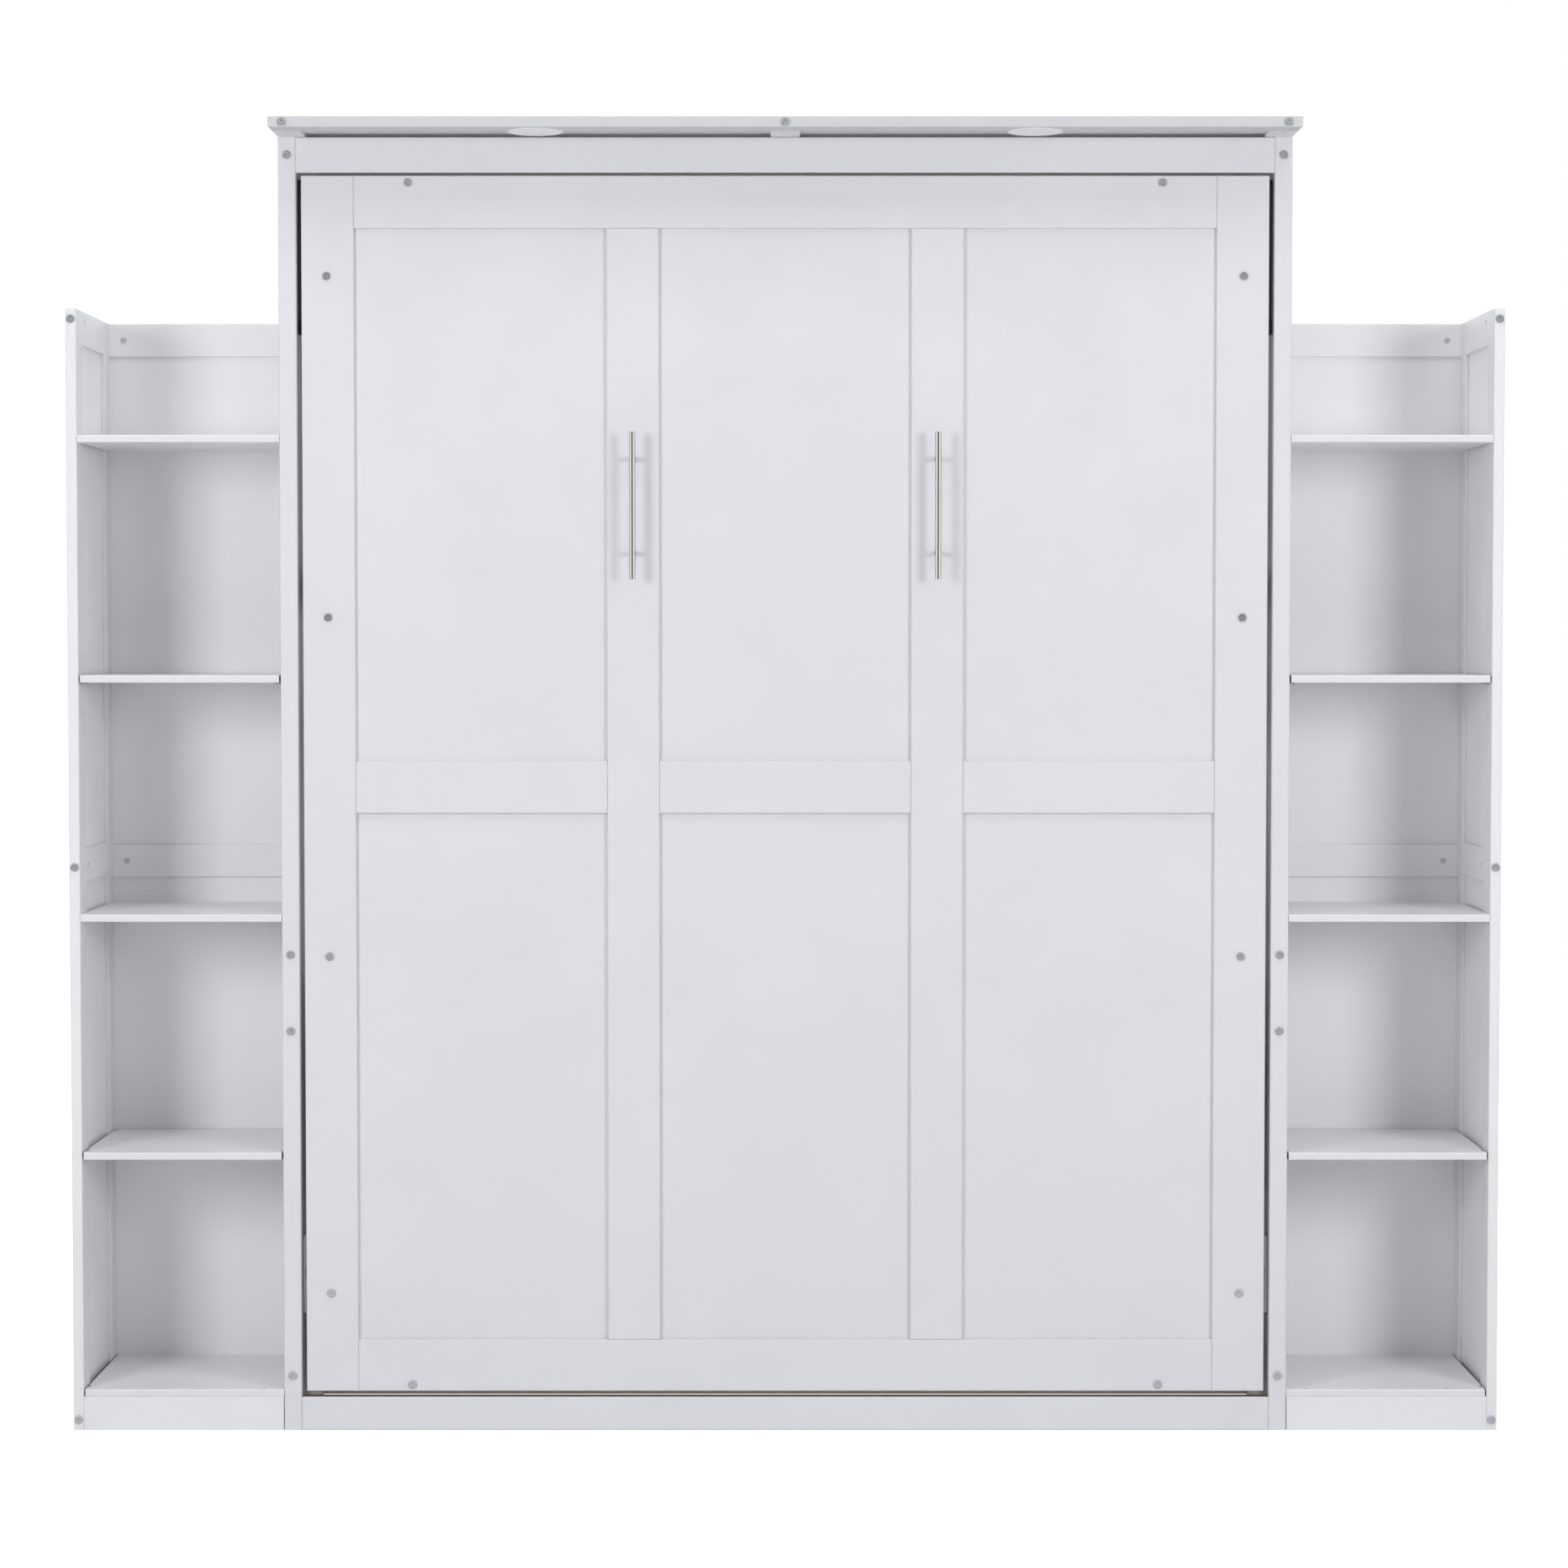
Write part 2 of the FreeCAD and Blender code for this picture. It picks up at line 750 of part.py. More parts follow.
def pin_height(level):
    return shelf_top(level) - shelf_thickness - shelf_pin_seat_clearance - shelf_pin_tab_thickness / 2


def pin_holes(x_low, x_high, depth):
    """Three holes at each adjustable shelf, the middle one in use."""
    holes = []
    for level in adjustable_levels:
        for step in (-1, 0, 1):
            z = pin_height(level) + step * shelf_pin_hole_spacing
            holes.append(rod_x(shelf_pin_hole_radius, x_low, x_high, depth, z))
    return holes


pin_depths = (shelf_pin_stile_inset, cabinet_depth - shelf_pin_stile_inset)
outer_pin_holes = []
inner_pin_holes = []
outer_bore = (bookcase_inner - cut_overrun, bookcase_inner + shelf_pin_hole_depth)
inner_bore = (cabinet_half - shelf_pin_hole_depth, cabinet_half + cut_overrun)
for pin_depth in pin_depths:
    outer_pin_holes += pin_holes(*outer_bore, pin_depth)
    inner_pin_holes += pin_holes(*inner_bore, pin_depth)


def bookcase_stile(width, depth_low, groove, radius):
    body = member(bookcase_height, width, bookcase_side_thickness, bookcase_recess,
                  grooves=(groove,), arrises=nosing, radius=radius)
    body = placed(body, at(bookcase_inner, depth_low, 0), UP, BACK)
    return body.cut(bookcase_holes() + outer_pin_holes)


def bookcase_side_rail(z_low, grooves):
    body = member(bookcase_rail_length, bookcase_rail_width, bookcase_side_thickness, bookcase_recess,
                  grooves=grooves, tenons=("start", "end"), arrises=nosing, radius=thin_arris_radius)
    body = placed(body, at(bookcase_outer, bookcase_front_stile_width, z_low), BACK, UP)
    return body.cut(bookcase_holes())


def bookcase_side_rails():
    return [
        bookcase_side_rail(0, ("high",)),
        bookcase_side_rail(bookcase_mid_rail_bottom, ("low", "high")),
        bookcase_side_rail(bookcase_top_rail_bottom, ("low",)),
    ]


def bookcase_side_panels():
    x_low = bookcase_inner + bookcase_recess
    depth_low = bookcase_front_stile_width - tenon_length
    depth_high = cabinet_depth - bookcase_rear_stile_width + tenon_length
    panels = []
    mid_top = bookcase_mid_rail_bottom + bookcase_rail_width
    lower = (bookcase_rail_width, bookcase_mid_rail_bottom)
    upper = (mid_top, bookcase_top_rail_bottom)
    for z_low, z_high in (lower, upper):
        panels.append(board(x_low, x_low + panel_thickness, depth_low, depth_high,
                            z_low - tenon_length, z_high + tenon_length))
    return panels


def bookcase_back_rail_levels():
    return (0, bookcase_back_mid_rail_height, bookcase_height - bookcase_rail_width)


def wall_screw_places():
    x = bookcase_inner - wall_screw_side_inset
    return [(x, z_low + bookcase_rail_width / 2) for z_low in bookcase_back_rail_levels()[1:]]


def bookcase_back_rails():
    depth_low = cabinet_depth - back_rail_thickness
    recess = (back_rail_thickness - panel_thickness) / 2
    grooves = (("high",), ("low", "high"), ("low",))
    rails = []
    for z_low, sides in zip(bookcase_back_rail_levels(), grooves):
        body = member(bookcase_inner - cabinet_half, bookcase_rail_width, back_rail_thickness, recess,
                      grooves=sides, arrises=(("front", "low"), ("front", "high")), radius=thin_arris_radius)
        body = placed(body, at(cabinet_half, depth_low, z_low), RIGHT, UP)
        for x, z in wall_screw_places():
            hole = rod_y(wall_screw_hole_radius, x, depth_low - cut_overrun, cabinet_depth + cut_overrun, z)
            body = body.cut(hole)
        rails.append(body)
    return rails


def bookcase_back_panels():
    levels = bookcase_back_rail_levels()
    panels = []
    for lower, upper in zip(levels[:-1], levels[1:]):
        panels.append(board(cabinet_half, bookcase_inner,
                            back_panel_depth, back_panel_depth + panel_thickness,
                            lower + bookcase_rail_width - tenon_length, upper + tenon_length))
    return panels


def wall_screws():
    depth = cabinet_depth - back_rail_thickness
    screws = []
    for x, z in wall_screw_places():
        head = rod_y(wall_screw_head_radius, x, depth - wall_screw_head_height, depth, z)
        face_y = front_plane + depth - wall_screw_head_height
        rim = [edge for edge in head.Edges if edge.Closed and on_plane(edge, "y", face_y)]
        head = head.makeChamfer(wall_screw_rim_bevel, rim)
        shank = rod_y(wall_screw_radius, x, depth, cabinet_depth - wall_screw_end_clearance, z)
        screws.append(head.fuse(shank))
    return screws


def shelf(level, inner_gap, outer_gap, back_gap):
    top = shelf_top(level)
    body = board(cabinet_half + inner_gap, bookcase_inner - outer_gap, 0, shelf_back - back_gap,
                 top - shelf_thickness, top)
    return eased(body, (("front", "low"), ("front", "high")), arris_radius)


def end_notch(x, depth, level):
    """A half-round notch through the end of a shelf, over one of its pins."""
    foot = at(x, depth, shelf_top(level) - shelf_thickness - cut_overrun)
    return Part.makeCylinder(shelf_notch_radius, shelf_thickness + 2 * cut_overrun, foot, UP)


def fixed_shelves():
    """Shelves fixed between side and cabinet; the bottom one lies on the plinth, bored near its front."""
    bottom = shelf(0, 0, shelf_end_gap, 0)
    bottom = bottom.cut(end_notch(bookcase_inner - shelf_end_gap, shelf_pin_stile_inset, 0))
    for x in (cabinet_half + shelf_bore_inner_inset, bookcase_inner - shelf_bore_outer_inset):
        start = at(x, plinth_thickness / 2, plinth_height - cut_overrun)
        bore = Part.makeCylinder(shelf_bore_radius, shelf_thickness + 2 * cut_overrun, start, UP)
        bottom = bottom.cut(bore)
    return [bottom] + [shelf(level, 0, 0, 0) for level in fixed_levels[1:]]


def adjustable_shelves():
    shelves = []
    for level in adjustable_levels:
        body = shelf(level, shelf_end_gap, shelf_end_gap, shelf_back_clearance)
        for depth in pin_depths:
            body = body.cut(end_notch(cabinet_half + shelf_end_gap, depth, level))
            body = body.cut(end_notch(bookcase_inner - shelf_end_gap, depth, level))
        shelves.append(body)
    return shelves


def shelf_pin(x_face, x_end, x_tip, depth, level):
    """A pin with a flat tab under the shelf; it enters the side at x_face and ends at x_end."""
    z = pin_height(level)
    half_thickness = shelf_pin_tab_thickness / 2
    half_width = shelf_pin_tab_width / 2
    pin = rod_x(shelf_pin_radius, min(x_face, x_end), max(x_face, x_end), depth, z)
    tab = board(min(x_face, x_tip), max(x_face, x_tip), depth - half_width, depth + half_width,
                z - half_thickness, z + half_thickness)
    return pin.fuse(tab)


def shelf_pins():
    pins = []
    for level in adjustable_levels:
        for depth in pin_depths:
            pins.append(shelf_pin(cabinet_half, cabinet_half - shelf_pin_hole_depth,
                                  cabinet_half + shelf_pin_tab_length, depth, level))
            pins.append(shelf_pin(bookcase_inner, bookcase_inner + shelf_pin_hole_depth,
                                  bookcase_inner - shelf_pin_tab_length, depth, level))
    return pins


def plinth():
    body = board(cabinet_half + plinth_side_gap, bookcase_inner, 0, plinth_thickness, 0, plinth_height)
    return eased(body, (("front", "high"), ("front", "start")), thin_arris_radius)


# Bed pivot: a plate and pin on the post, a plate and bush on the bed's rail

def plate_x(x_low, thickness, depth_low, depth_high, z_low, z_high):
    body = board(x_low, x_low + thickness, depth_low, depth_high, z_low, z_high)
    corners = [edge for edge in body.Edges if abs(edge.Length - thickness) < match_tolerance]
    return body.makeFillet(plate_corner_radius, corners)


def hinge_plate():
    half_width = hinge_plate_width / 2
    half_length = hinge_plate_length / 2
    x_low = opening_half - hinge_plate_thickness
    plate = plate_x(x_low, hinge_plate_thickness, pivot_depth - half_width, pivot_depth + half_width,
                    pivot_height - half_length, pivot_height + half_length)
    pin = rod_x(pivot_pin_radius, bed_rail_outer - pivot_pin_bite, x_low, pivot_depth, pivot_height)
    return plate.fuse(pin)


def bed_hinge_plate():
    half_width = hinge_plate_width / 2
    half_length = bed_plate_length / 2
    plate = plate_x(bed_rail_outer, bed_plate_thickness, pivot_depth - half_width, pivot_depth + half_width,
                    pivot_height - half_length, pivot_height + half_length)
    return plate.cut(bush_hole(bed_rail_outer, bed_rail_outer + bed_plate_thickness))


def pivot_bush():
    """A flanged sleeve in the rail and its plate, in which the pin turns."""
    seat_x = bed_rail_outer + bed_plate_thickness
    sleeve = rod_x(bush_radius, bed_rail_inner + bush_end_inset, seat_x, pivot_depth, pivot_height)
    flange = rod_x(bush_flange_radius, seat_x, seat_x + bush_flange_thickness, pivot_depth, pivot_height)
    bore_end = seat_x + bush_flange_thickness + cut_overrun
    bore = rod_x(pivot_pin_radius + pivot_clearance, bed_rail_inner, bore_end, pivot_depth, pivot_height)
    return sleeve.fuse(flange).cut(bore)


# Gas struts, each a cylinder pinned to the cabinet and a rod that ends at the bed's rail

strut_run = strut_foot_depth - strut_anchor_depth
strut_drop = strut_anchor_height - strut_foot_height
strut_length = math.hypot(strut_run, strut_drop)
strut_lean = math.degrees(math.atan2(strut_run, strut_drop))
strut_plane_x = opening_half - strut_plane_inset
strut_eye_low = strut_plane_x - strut_eye_width / 2
strut_eye_high = strut_plane_x + strut_eye_width / 2


def strut_span(radius, start, end):
    """A round stretch of the strut between two distances down from its anchor, before it leans."""
    foot = at(strut_plane_x, strut_anchor_depth, strut_anchor_height - end)
    return Part.makeCylinder(radius, end - start, foot, UP)


def leaned(body):
    """Turns a strut about its anchor until it points at its foot."""
    turned = body.copy()
    turned.rotate(at(0, strut_anchor_depth, strut_anchor_height), RIGHT, strut_lean)
    return turned


def strut_cylinder():
    tube_end = strut_tube_start + strut_tube_length
    eye = rod_x(strut_eye_radius, strut_eye_low, strut_eye_high, strut_anchor_depth, strut_anchor_height)
    body = strut_span(strut_tube_radius, strut_tube_start, tube_end)
    body = body.fuse(strut_span(strut_neck_radius, 0, strut_tube_start))
    body = body.fuse(eye)
    bore_start = strut_tube_start + strut_tube_cap
    guide_start = tube_end - strut_guide_length
    body = body.cut(strut_span(strut_tube_radius - strut_tube_wall, bore_start, guide_start))
    body = body.cut(strut_span(strut_rod_radius + strut_rod_clearance, bore_start, tube_end + cut_overrun))
    stud_bore = strut_stud_radius + pivot_clearance
    body = body.cut(rod_x(stud_bore, strut_eye_low - cut_overrun, strut_eye_high + cut_overrun,
                          strut_anchor_depth, strut_anchor_height))
    return leaned(body)


def strut_rod():
    piston_end = strut_tube_start + strut_tube_length - strut_guide_length - strut_piston_gap
    body = strut_span(strut_rod_radius, piston_end, strut_length)
    body = body.fuse(strut_span(strut_piston_radius, piston_end - strut_piston_length, piston_end))
    foot_height = strut_anchor_height - strut_length
    eye = rod_x(strut_eye_radius, strut_eye_low, strut_eye_high, strut_anchor_depth, foot_height)
    pin_end = bed_rail_outer + bed_plate_thickness + strut_pin_end_gap
    pin = rod_x(strut_stud_radius, pin_end, strut_eye_low, strut_anchor_depth, foot_height)
    return leaned(body.fuse(eye).fuse(pin))


def strut_bracket():
    """A plate on the cabinet's middle rail with a headed stud for the cylinder's eye."""
    half = strut_bracket_size / 2
    x_low = opening_half - strut_bracket_thickness
    plate = plate_x(x_low, strut_bracket_thickness, strut_anchor_depth - half, strut_anchor_depth + half,
                    strut_anchor_height - half, strut_anchor_height + half)
    head_high = strut_eye_low - strut_stud_head_gap
    head_low = head_high - strut_stud_head_thickness
    stud = rod_x(strut_stud_radius, head_high, x_low, strut_anchor_depth, strut_anchor_height)
    head = rod_x(strut_stud_head_radius, head_low, head_high, strut_anchor_depth, strut_anchor_height)
    return plate.fuse(stud).fuse(head)


def bed_strut_bracket():
    half = bed_bracket_size / 2
    return plate_x(bed_rail_outer, bed_plate_thickness, strut_foot_depth - half, strut_foot_depth + half,
                   strut_foot_height - half, strut_foot_height + half)


# Folding legs, which hang in the side gaps and swing out when the bed comes down

leg_length = pivot_height + leg_pivot_depth - pivot_depth
leg_low_x = face_width / 2 + leg_face_gap
leg_high_x = leg_low_x + leg_thickness
leg_foot_z = leg_pivot_height - leg_length


def leg():
    """A flat bar with a round end at its pivot."""
    half = leg_width / 2
    body = board(leg_low_x, leg_high_x, leg_pivot_depth - half, leg_pivot_depth + half,
                 leg_foot_z + leg_foot_sole, leg_pivot_height)
    body = body.fuse(rod_x(half, leg_low_x, leg_high_x, leg_pivot_depth, leg_pivot_height))
    radius = leg_pin_radius + leg_pin_clearance
    return body.cut(rod_x(radius, leg_low_x - cut_overrun, leg_high_x + cut_overrun,
                          leg_pivot_depth, leg_pivot_height))


def leg_foot():
    """A cap over the leg's lower end."""
    half = leg_width / 2 + leg_foot_edge_wall
    cap = board(leg_low_x - leg_foot_side_wall, leg_high_x + leg_foot_side_wall,
                leg_pivot_depth - half, leg_pivot_depth + half, leg_foot_z, leg_foot_z + leg_foot_height)
    cap = cap.makeChamfer(leg_foot_bevel, cap.Edges)
    return cap.cut(leg())


def leg_pivot_pin():
    """A stepped pin: its sleeve keeps the leg clear of the rail, and its tip carries the leg."""
    start = bed_rail_outer - leg_pin_bite + leg_pin_clearance
    pin = rod_x(leg_pin_radius, start, leg_high_x - leg_pin_tip_gap, leg_pivot_depth, leg_pivot_height)
    sleeve_end = leg_low_x - leg_sleeve_gap
    sleeve = rod_x(leg_sleeve_radius, bed_rail_outer, sleeve_end, leg_pivot_depth, leg_pivot_height)
    return pin.fuse(sleeve)


def save_bed():
    stile = face_outer_stile()
    rail = bed_side_rail()
    save("face_stile_right", [stile])
    save("face_stile_left", [mirrored(stile)])
    save("face_top_rail", [face_end_rail(face_top - face_member_width, "low")])
    save("face_bottom_rail", [face_end_rail(face_bottom, "high")])
    save("face_inner_stiles", [face_inner_stile(-inner_stile_centre), face_inner_stile(inner_stile_centre)])
    save("face_mid_rails", [face_mid_rail(column) for column in range(3)])
    save("face_panels", [face_panel(column, row) for column in range(3) for row in range(2)])
    save("bed_side_rail_right", [rail])
    save("bed_side_rail_left", [mirrored(rail)])
    save("bed_end_rails", [bed_end_rail(bed_bottom), bed_end_rail(bed_top - bed_rail_thickness)])
    save("bed_slats", bed_slats())
    bolts = [bolt(x, 0, z, face_bolt_length) for x, z in face_bolt_places()]
    save("bed_bolts", bolts + face_nuts())
    save("handle_right", handle(inner_stile_centre))
    save("handle_left", handle(-inner_stile_centre))
    save("bed_hinge_plates", both_sides([bed_hinge_plate()]))
    save("pivot_bushes", both_sides([pivot_bush()]))
    save("bed_strut_brackets", both_sides([bed_strut_bracket()]))
    save("leg_pivot_pins", both_sides([leg_pivot_pin()]))


def save_cabinet():
    post = front_post().cut(inner_pin_holes)
    rear = rear_post().cut(inner_pin_holes)
    rails = cabinet_side_rails()
    save("front_post_right", [post])
    save("front_post_left", [mirrored(post)])
    save("rear_posts", both_sides([rear]))
    save("cabinet_side_rails_right", rails)
    save("cabinet_side_rails_left", [mirrored(rail) for rail in rails])
    save("cabinet_side_panels", both_sides(cabinet_side_panels()))
    save("cabinet_back_rails", cabinet_back_rails())
    save("header_rail", [header_rail()])
    save("kick_rail", [kick_rail()])
    save("top_front_rail", [top_front_rail()])
    save("top_rear_rail", [top_rear_rail()])
    save("top_cross_rails", top_cross_rails())
    save("top_panels", both_sides([top_panel()]))
    save("puck_light_left", puck_light(-1))
    save("puck_light_right", puck_light(1))


def save_bookcases():
    front_stile = bookcase_stile(bookcase_front_stile_width, 0, "high", arris_radius)
    rear_depth = cabinet_depth - bookcase_rear_stile_width
    rear_stile = bookcase_stile(bookcase_rear_stile_width, rear_depth, "low", thin_arris_radius)
    handed = {
        "front_stile": [front_stile],
        "side_rails": bookcase_side_rails(),
        "fixed_shelves": fixed_shelves(),
        "adjustable_shelves": adjustable_shelves(),
    }
    for name, shapes in handed.items():
        save("bookcase_right_" + name, shapes)
        save("bookcase_left_" + name, [mirrored(shape) for shape in shapes])
    save("bookcase_rear_stiles", both_sides([rear_stile]))
    save("bookcase_side_panels", both_sides(bookcase_side_panels()))
    save("bookcase_back_rails", both_sides(bookcase_back_rails()))
    save("bookcase_back_panels", both_sides(bookcase_back_panels()))
    save("bookcase_plinths", both_sides([plinth()]))
    save("shelf_pins", both_sides(shelf_pins()))
    save("wall_screws", both_sides(wall_screws()))


def save_hardware():
    plate = hinge_plate()
    fasteners = []
    for z in post_bolt_heights():
        fasteners.append(bolt(post_bolt_x, 0, z, post_bolt_length))
        fasteners.append(barrel_nut(post_bolt_x, post_width, z, -RIGHT))
    for z in bookcase_bolt_heights():
        fasteners.append(bolt(bookcase_bolt_x, 0, z, bookcase_bolt_length))
        fasteners.append(barrel_nut(bookcase_bolt_x, bookcase_front_stile_width, z, -RIGHT))
    fasteners = both_sides(fasteners)
    for x in top_bolt_places():
        fasteners.append(bolt(x, -top_overhang, top_bolt_z, top_bolt_length))
        fasteners.append(barrel_nut(x, top_front_back_edge, top_bolt_z, -UP))
    save("frame_bolts", fasteners)
    save("hinge_plate_right", [plate])
    save("hinge_plate_left", [mirrored(plate)])
    save("strut_brackets", both_sides([strut_bracket()]))
    for name, shape in {"strut_cylinder": strut_cylinder(), "strut_rod": strut_rod(),
                        "leg": leg(), "leg_foot": leg_foot()}.items():
        save(name + "_right", [shape])
        save(name + "_left", [mirrored(shape)])


os.makedirs("parts", exist_ok=True)
save_bed()
save_cabinet()
save_bookcases()
save_hardware()
print("front plane", front_plane, "overall", 2 * bookcase_outer, overall_depth, overall_height)
print("strut", strut_length, strut_lean, "leg", leg_length, leg_foot_z)
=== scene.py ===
import math
import bmesh
import bpy
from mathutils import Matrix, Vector


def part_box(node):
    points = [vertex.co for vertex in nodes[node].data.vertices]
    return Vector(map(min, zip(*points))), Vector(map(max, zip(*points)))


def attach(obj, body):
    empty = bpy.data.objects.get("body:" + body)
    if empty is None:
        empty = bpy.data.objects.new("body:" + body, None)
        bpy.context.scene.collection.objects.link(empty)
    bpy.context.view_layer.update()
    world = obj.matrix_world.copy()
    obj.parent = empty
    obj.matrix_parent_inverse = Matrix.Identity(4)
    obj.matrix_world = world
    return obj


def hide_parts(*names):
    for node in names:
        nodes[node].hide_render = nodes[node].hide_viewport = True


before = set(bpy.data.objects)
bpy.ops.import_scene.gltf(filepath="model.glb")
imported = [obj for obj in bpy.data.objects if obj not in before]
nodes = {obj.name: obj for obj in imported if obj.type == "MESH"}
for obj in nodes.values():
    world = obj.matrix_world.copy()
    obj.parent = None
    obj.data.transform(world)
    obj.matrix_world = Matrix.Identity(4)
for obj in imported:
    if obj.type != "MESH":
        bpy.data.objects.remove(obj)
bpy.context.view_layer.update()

# Studio. The bed is photographed from the front at eye height with a long lens, on white. A soft box on each
# side throws a soft shadow from whatever stands out, two behind it light the back and one above it the top.
# Bare metal shows a painted dark reflection: a faint dark sheet that only reflections see.

scene = bpy.context.scene
scene.view_settings.view_transform = "Standard"
posts_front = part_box("front_post_left")[0][1]


def linear(hex_colour):
    """An sRGB hex value as a linear colour with alpha."""
    parts = [int(hex_colour[start:start + 2], 16) / 255 for start in (1, 3, 5)]
    return tuple(p / 12.92 if p <= 0.04045 else ((p + 0.055) / 1.055) ** 2.4 for p in parts) + (1.0,)


def add_node(tree, kind, settings=None, **inputs):
    """Adds a node. An input is named as on the node, or by number as n0, and gets a value or a socket."""
    node = tree.nodes.new(kind)
    for name, value in (settings or {}).items():
        setattr(node, name, value)
    for name, value in inputs.items():
        key = int(name[1:]) if name[0] == "n" and name[1:].isdigit() else name.replace("_", " ")
        if isinstance(value, bpy.types.NodeSocket):
            tree.links.new(value, node.inputs[key])
        else:
            node.inputs[key].default_value = value
    return node


photo_side_px = 1932
focal_px = 4472
camera_distance = 6.201
camera_height = 1.3595
camera_offset = -0.002
camera_pitch = math.radians(2.27)
sensor_width_mm = 36
camera_data = bpy.data.cameras.new("camera")
camera_data.sensor_width = sensor_width_mm
camera_data.lens = sensor_width_mm * focal_px / photo_side_px
camera = bpy.data.objects.new("camera", camera_data)
camera.location = (camera_offset, posts_front - camera_distance, camera_height)
camera.rotation_euler = (math.radians(90) - camera_pitch, 0, 0)
scene.collection.objects.link(camera)
scene.camera = camera

box_side_distance = 2.74
box_front_distance = 3.2
box_height = 1.85
box_aim = (0, 0, 1.25)
box_size = (1.0, 1.3)
box_power = 54
overhead_place = (0, -1.9, 4.6)
overhead_aim = (0, 0.1, 0.9)
overhead_size = (4.5, 1.6)
overhead_power = 45
rear_side_distance = 3.4
rear_distance = 3.6
rear_height = 2.6
rear_size = (1.6, 1.6)
rear_power = 48
top_box_place = (0, 0.9, 5.2)
top_box_aim = (0, 0.1, 2.2)
top_box_size = (2.4, 0.8)
top_box_power = 30
lamps = [(overhead_place, overhead_aim, overhead_size, overhead_power),
         (top_box_place, top_box_aim, top_box_size, top_box_power)]
for side in (-1, 1):
    lamps.append(((side * box_side_distance, posts_front - box_front_distance, box_height), box_aim, box_size,
                  box_power))
    lamps.append(((side * rear_side_distance, rear_distance, rear_height), box_aim, rear_size, rear_power))
for place, aim, size, power in lamps:
    lamp = bpy.data.lights.new("soft_box", "AREA")
    lamp.shape = "RECTANGLE"
    lamp.size, lamp.size_y = size
    lamp.energy = power
    lamp_object = bpy.data.objects.new("soft_box", lamp)
    lamp_object.location = place
    lamp_object.rotation_euler = (Vector(aim) - Vector(place)).to_track_quat("-Z", "Y").to_euler()
    lamp_object.visible_glossy = False
    scene.collection.objects.link(lamp_object)

room_front_strength = 0.35
room_back_strength = 0.2
room_blend = 0.25
room_tint = "#FAFBFF"
world = bpy.data.worlds.new("white_room")
scene.world = world
world.use_nodes = True
room = world.node_tree
room.nodes.clear()
ray = add_node(room, "ShaderNodeLightPath")
camera_or_gloss = add_node(room, "ShaderNodeMath", {"operation": "MAXIMUM"}, n0=ray.outputs["Is Camera Ray"],
                           n1=ray.outputs["Is Glossy Ray"])
sees_white = add_node(room, "ShaderNodeMath", {"operation": "MAXIMUM"}, n0=camera_or_gloss.outputs[0],
                      n1=ray.outputs["Is Transmission Ray"])
towards = add_node(room, "ShaderNodeTexCoord")
split = add_node(room, "ShaderNodeSeparateXYZ", Vector=towards.outputs["Generated"])
level = add_node(room, "ShaderNodeMapRange", Value=split.outputs["Y"], From_Min=-room_blend,
                 From_Max=room_blend, To_Min=room_front_strength, To_Max=room_back_strength)
fill = add_node(room, "ShaderNodeBackground", Color=linear(room_tint), Strength=level.outputs["Result"])
white = add_node(room, "ShaderNodeBackground", Color=(1, 1, 1, 1), Strength=1.0)
room_light = add_node(room, "ShaderNodeMixShader", n0=sees_white.outputs[0], n1=fill.outputs[0],
                      n2=white.outputs[0])
add_node(room, "ShaderNodeOutputWorld", Surface=room_light.outputs[0])


def flat_sheet(name, corners):
    """A flat part of the studio."""
    mesh = bpy.data.meshes.new(name)
    mesh.from_pydata(corners, [], [(0, 1, 2, 3)])
    sheet = bpy.data.objects.new(name, mesh)
    scene.collection.objects.link(sheet)
    return sheet


# White studio floor: it glows for the camera alone and fades into the white room, and keeps the shadow.
floor_half = 9.0
floor_tone = "#EFEFEF"
floor_glow_near = 0.62
floor_glow_far = 1.0
floor_fade_start = 1.5
floor_fade_end = 3.0
floor = flat_sheet("studio_floor", [(-floor_half, -floor_half, 0), (floor_half, -floor_half, 0),
                                    (floor_half, floor_half, 0), (-floor_half, floor_half, 0)])
floor_paint = bpy.data.materials.new("white_studio_floor")
floor_paint.use_nodes = True
tree = floor_paint.node_tree
tree.nodes.clear()
ray = add_node(tree, "ShaderNodeLightPath")
lit = add_node(tree, "ShaderNodeBsdfDiffuse", Color=linear(floor_tone))
place = add_node(tree, "ShaderNodeTexCoord")
reach = add_node(tree, "ShaderNodeVectorMath", {"operation": "LENGTH"}, n0=place.outputs["Object"])
fade = add_node(tree, "ShaderNodeMapRange", Value=reach.outputs["Value"], From_Min=floor_fade_start,
                From_Max=floor_fade_end, To_Min=floor_glow_near, To_Max=floor_glow_far)
glow = add_node(tree, "ShaderNodeEmission", Color=(1, 1, 1, 1), Strength=fade.outputs["Result"])
white_floor = add_node(tree, "ShaderNodeAddShader", n0=lit.outputs[0], n1=glow.outputs[0])
seen = add_node(tree, "ShaderNodeMixShader", n0=ray.outputs["Is Camera Ray"], n1=lit.outputs[0],
                n2=white_floor.outputs[0])
add_node(tree, "ShaderNodeOutputMaterial", Surface=seen.outputs[0])
floor.data.materials.append(floor_paint)
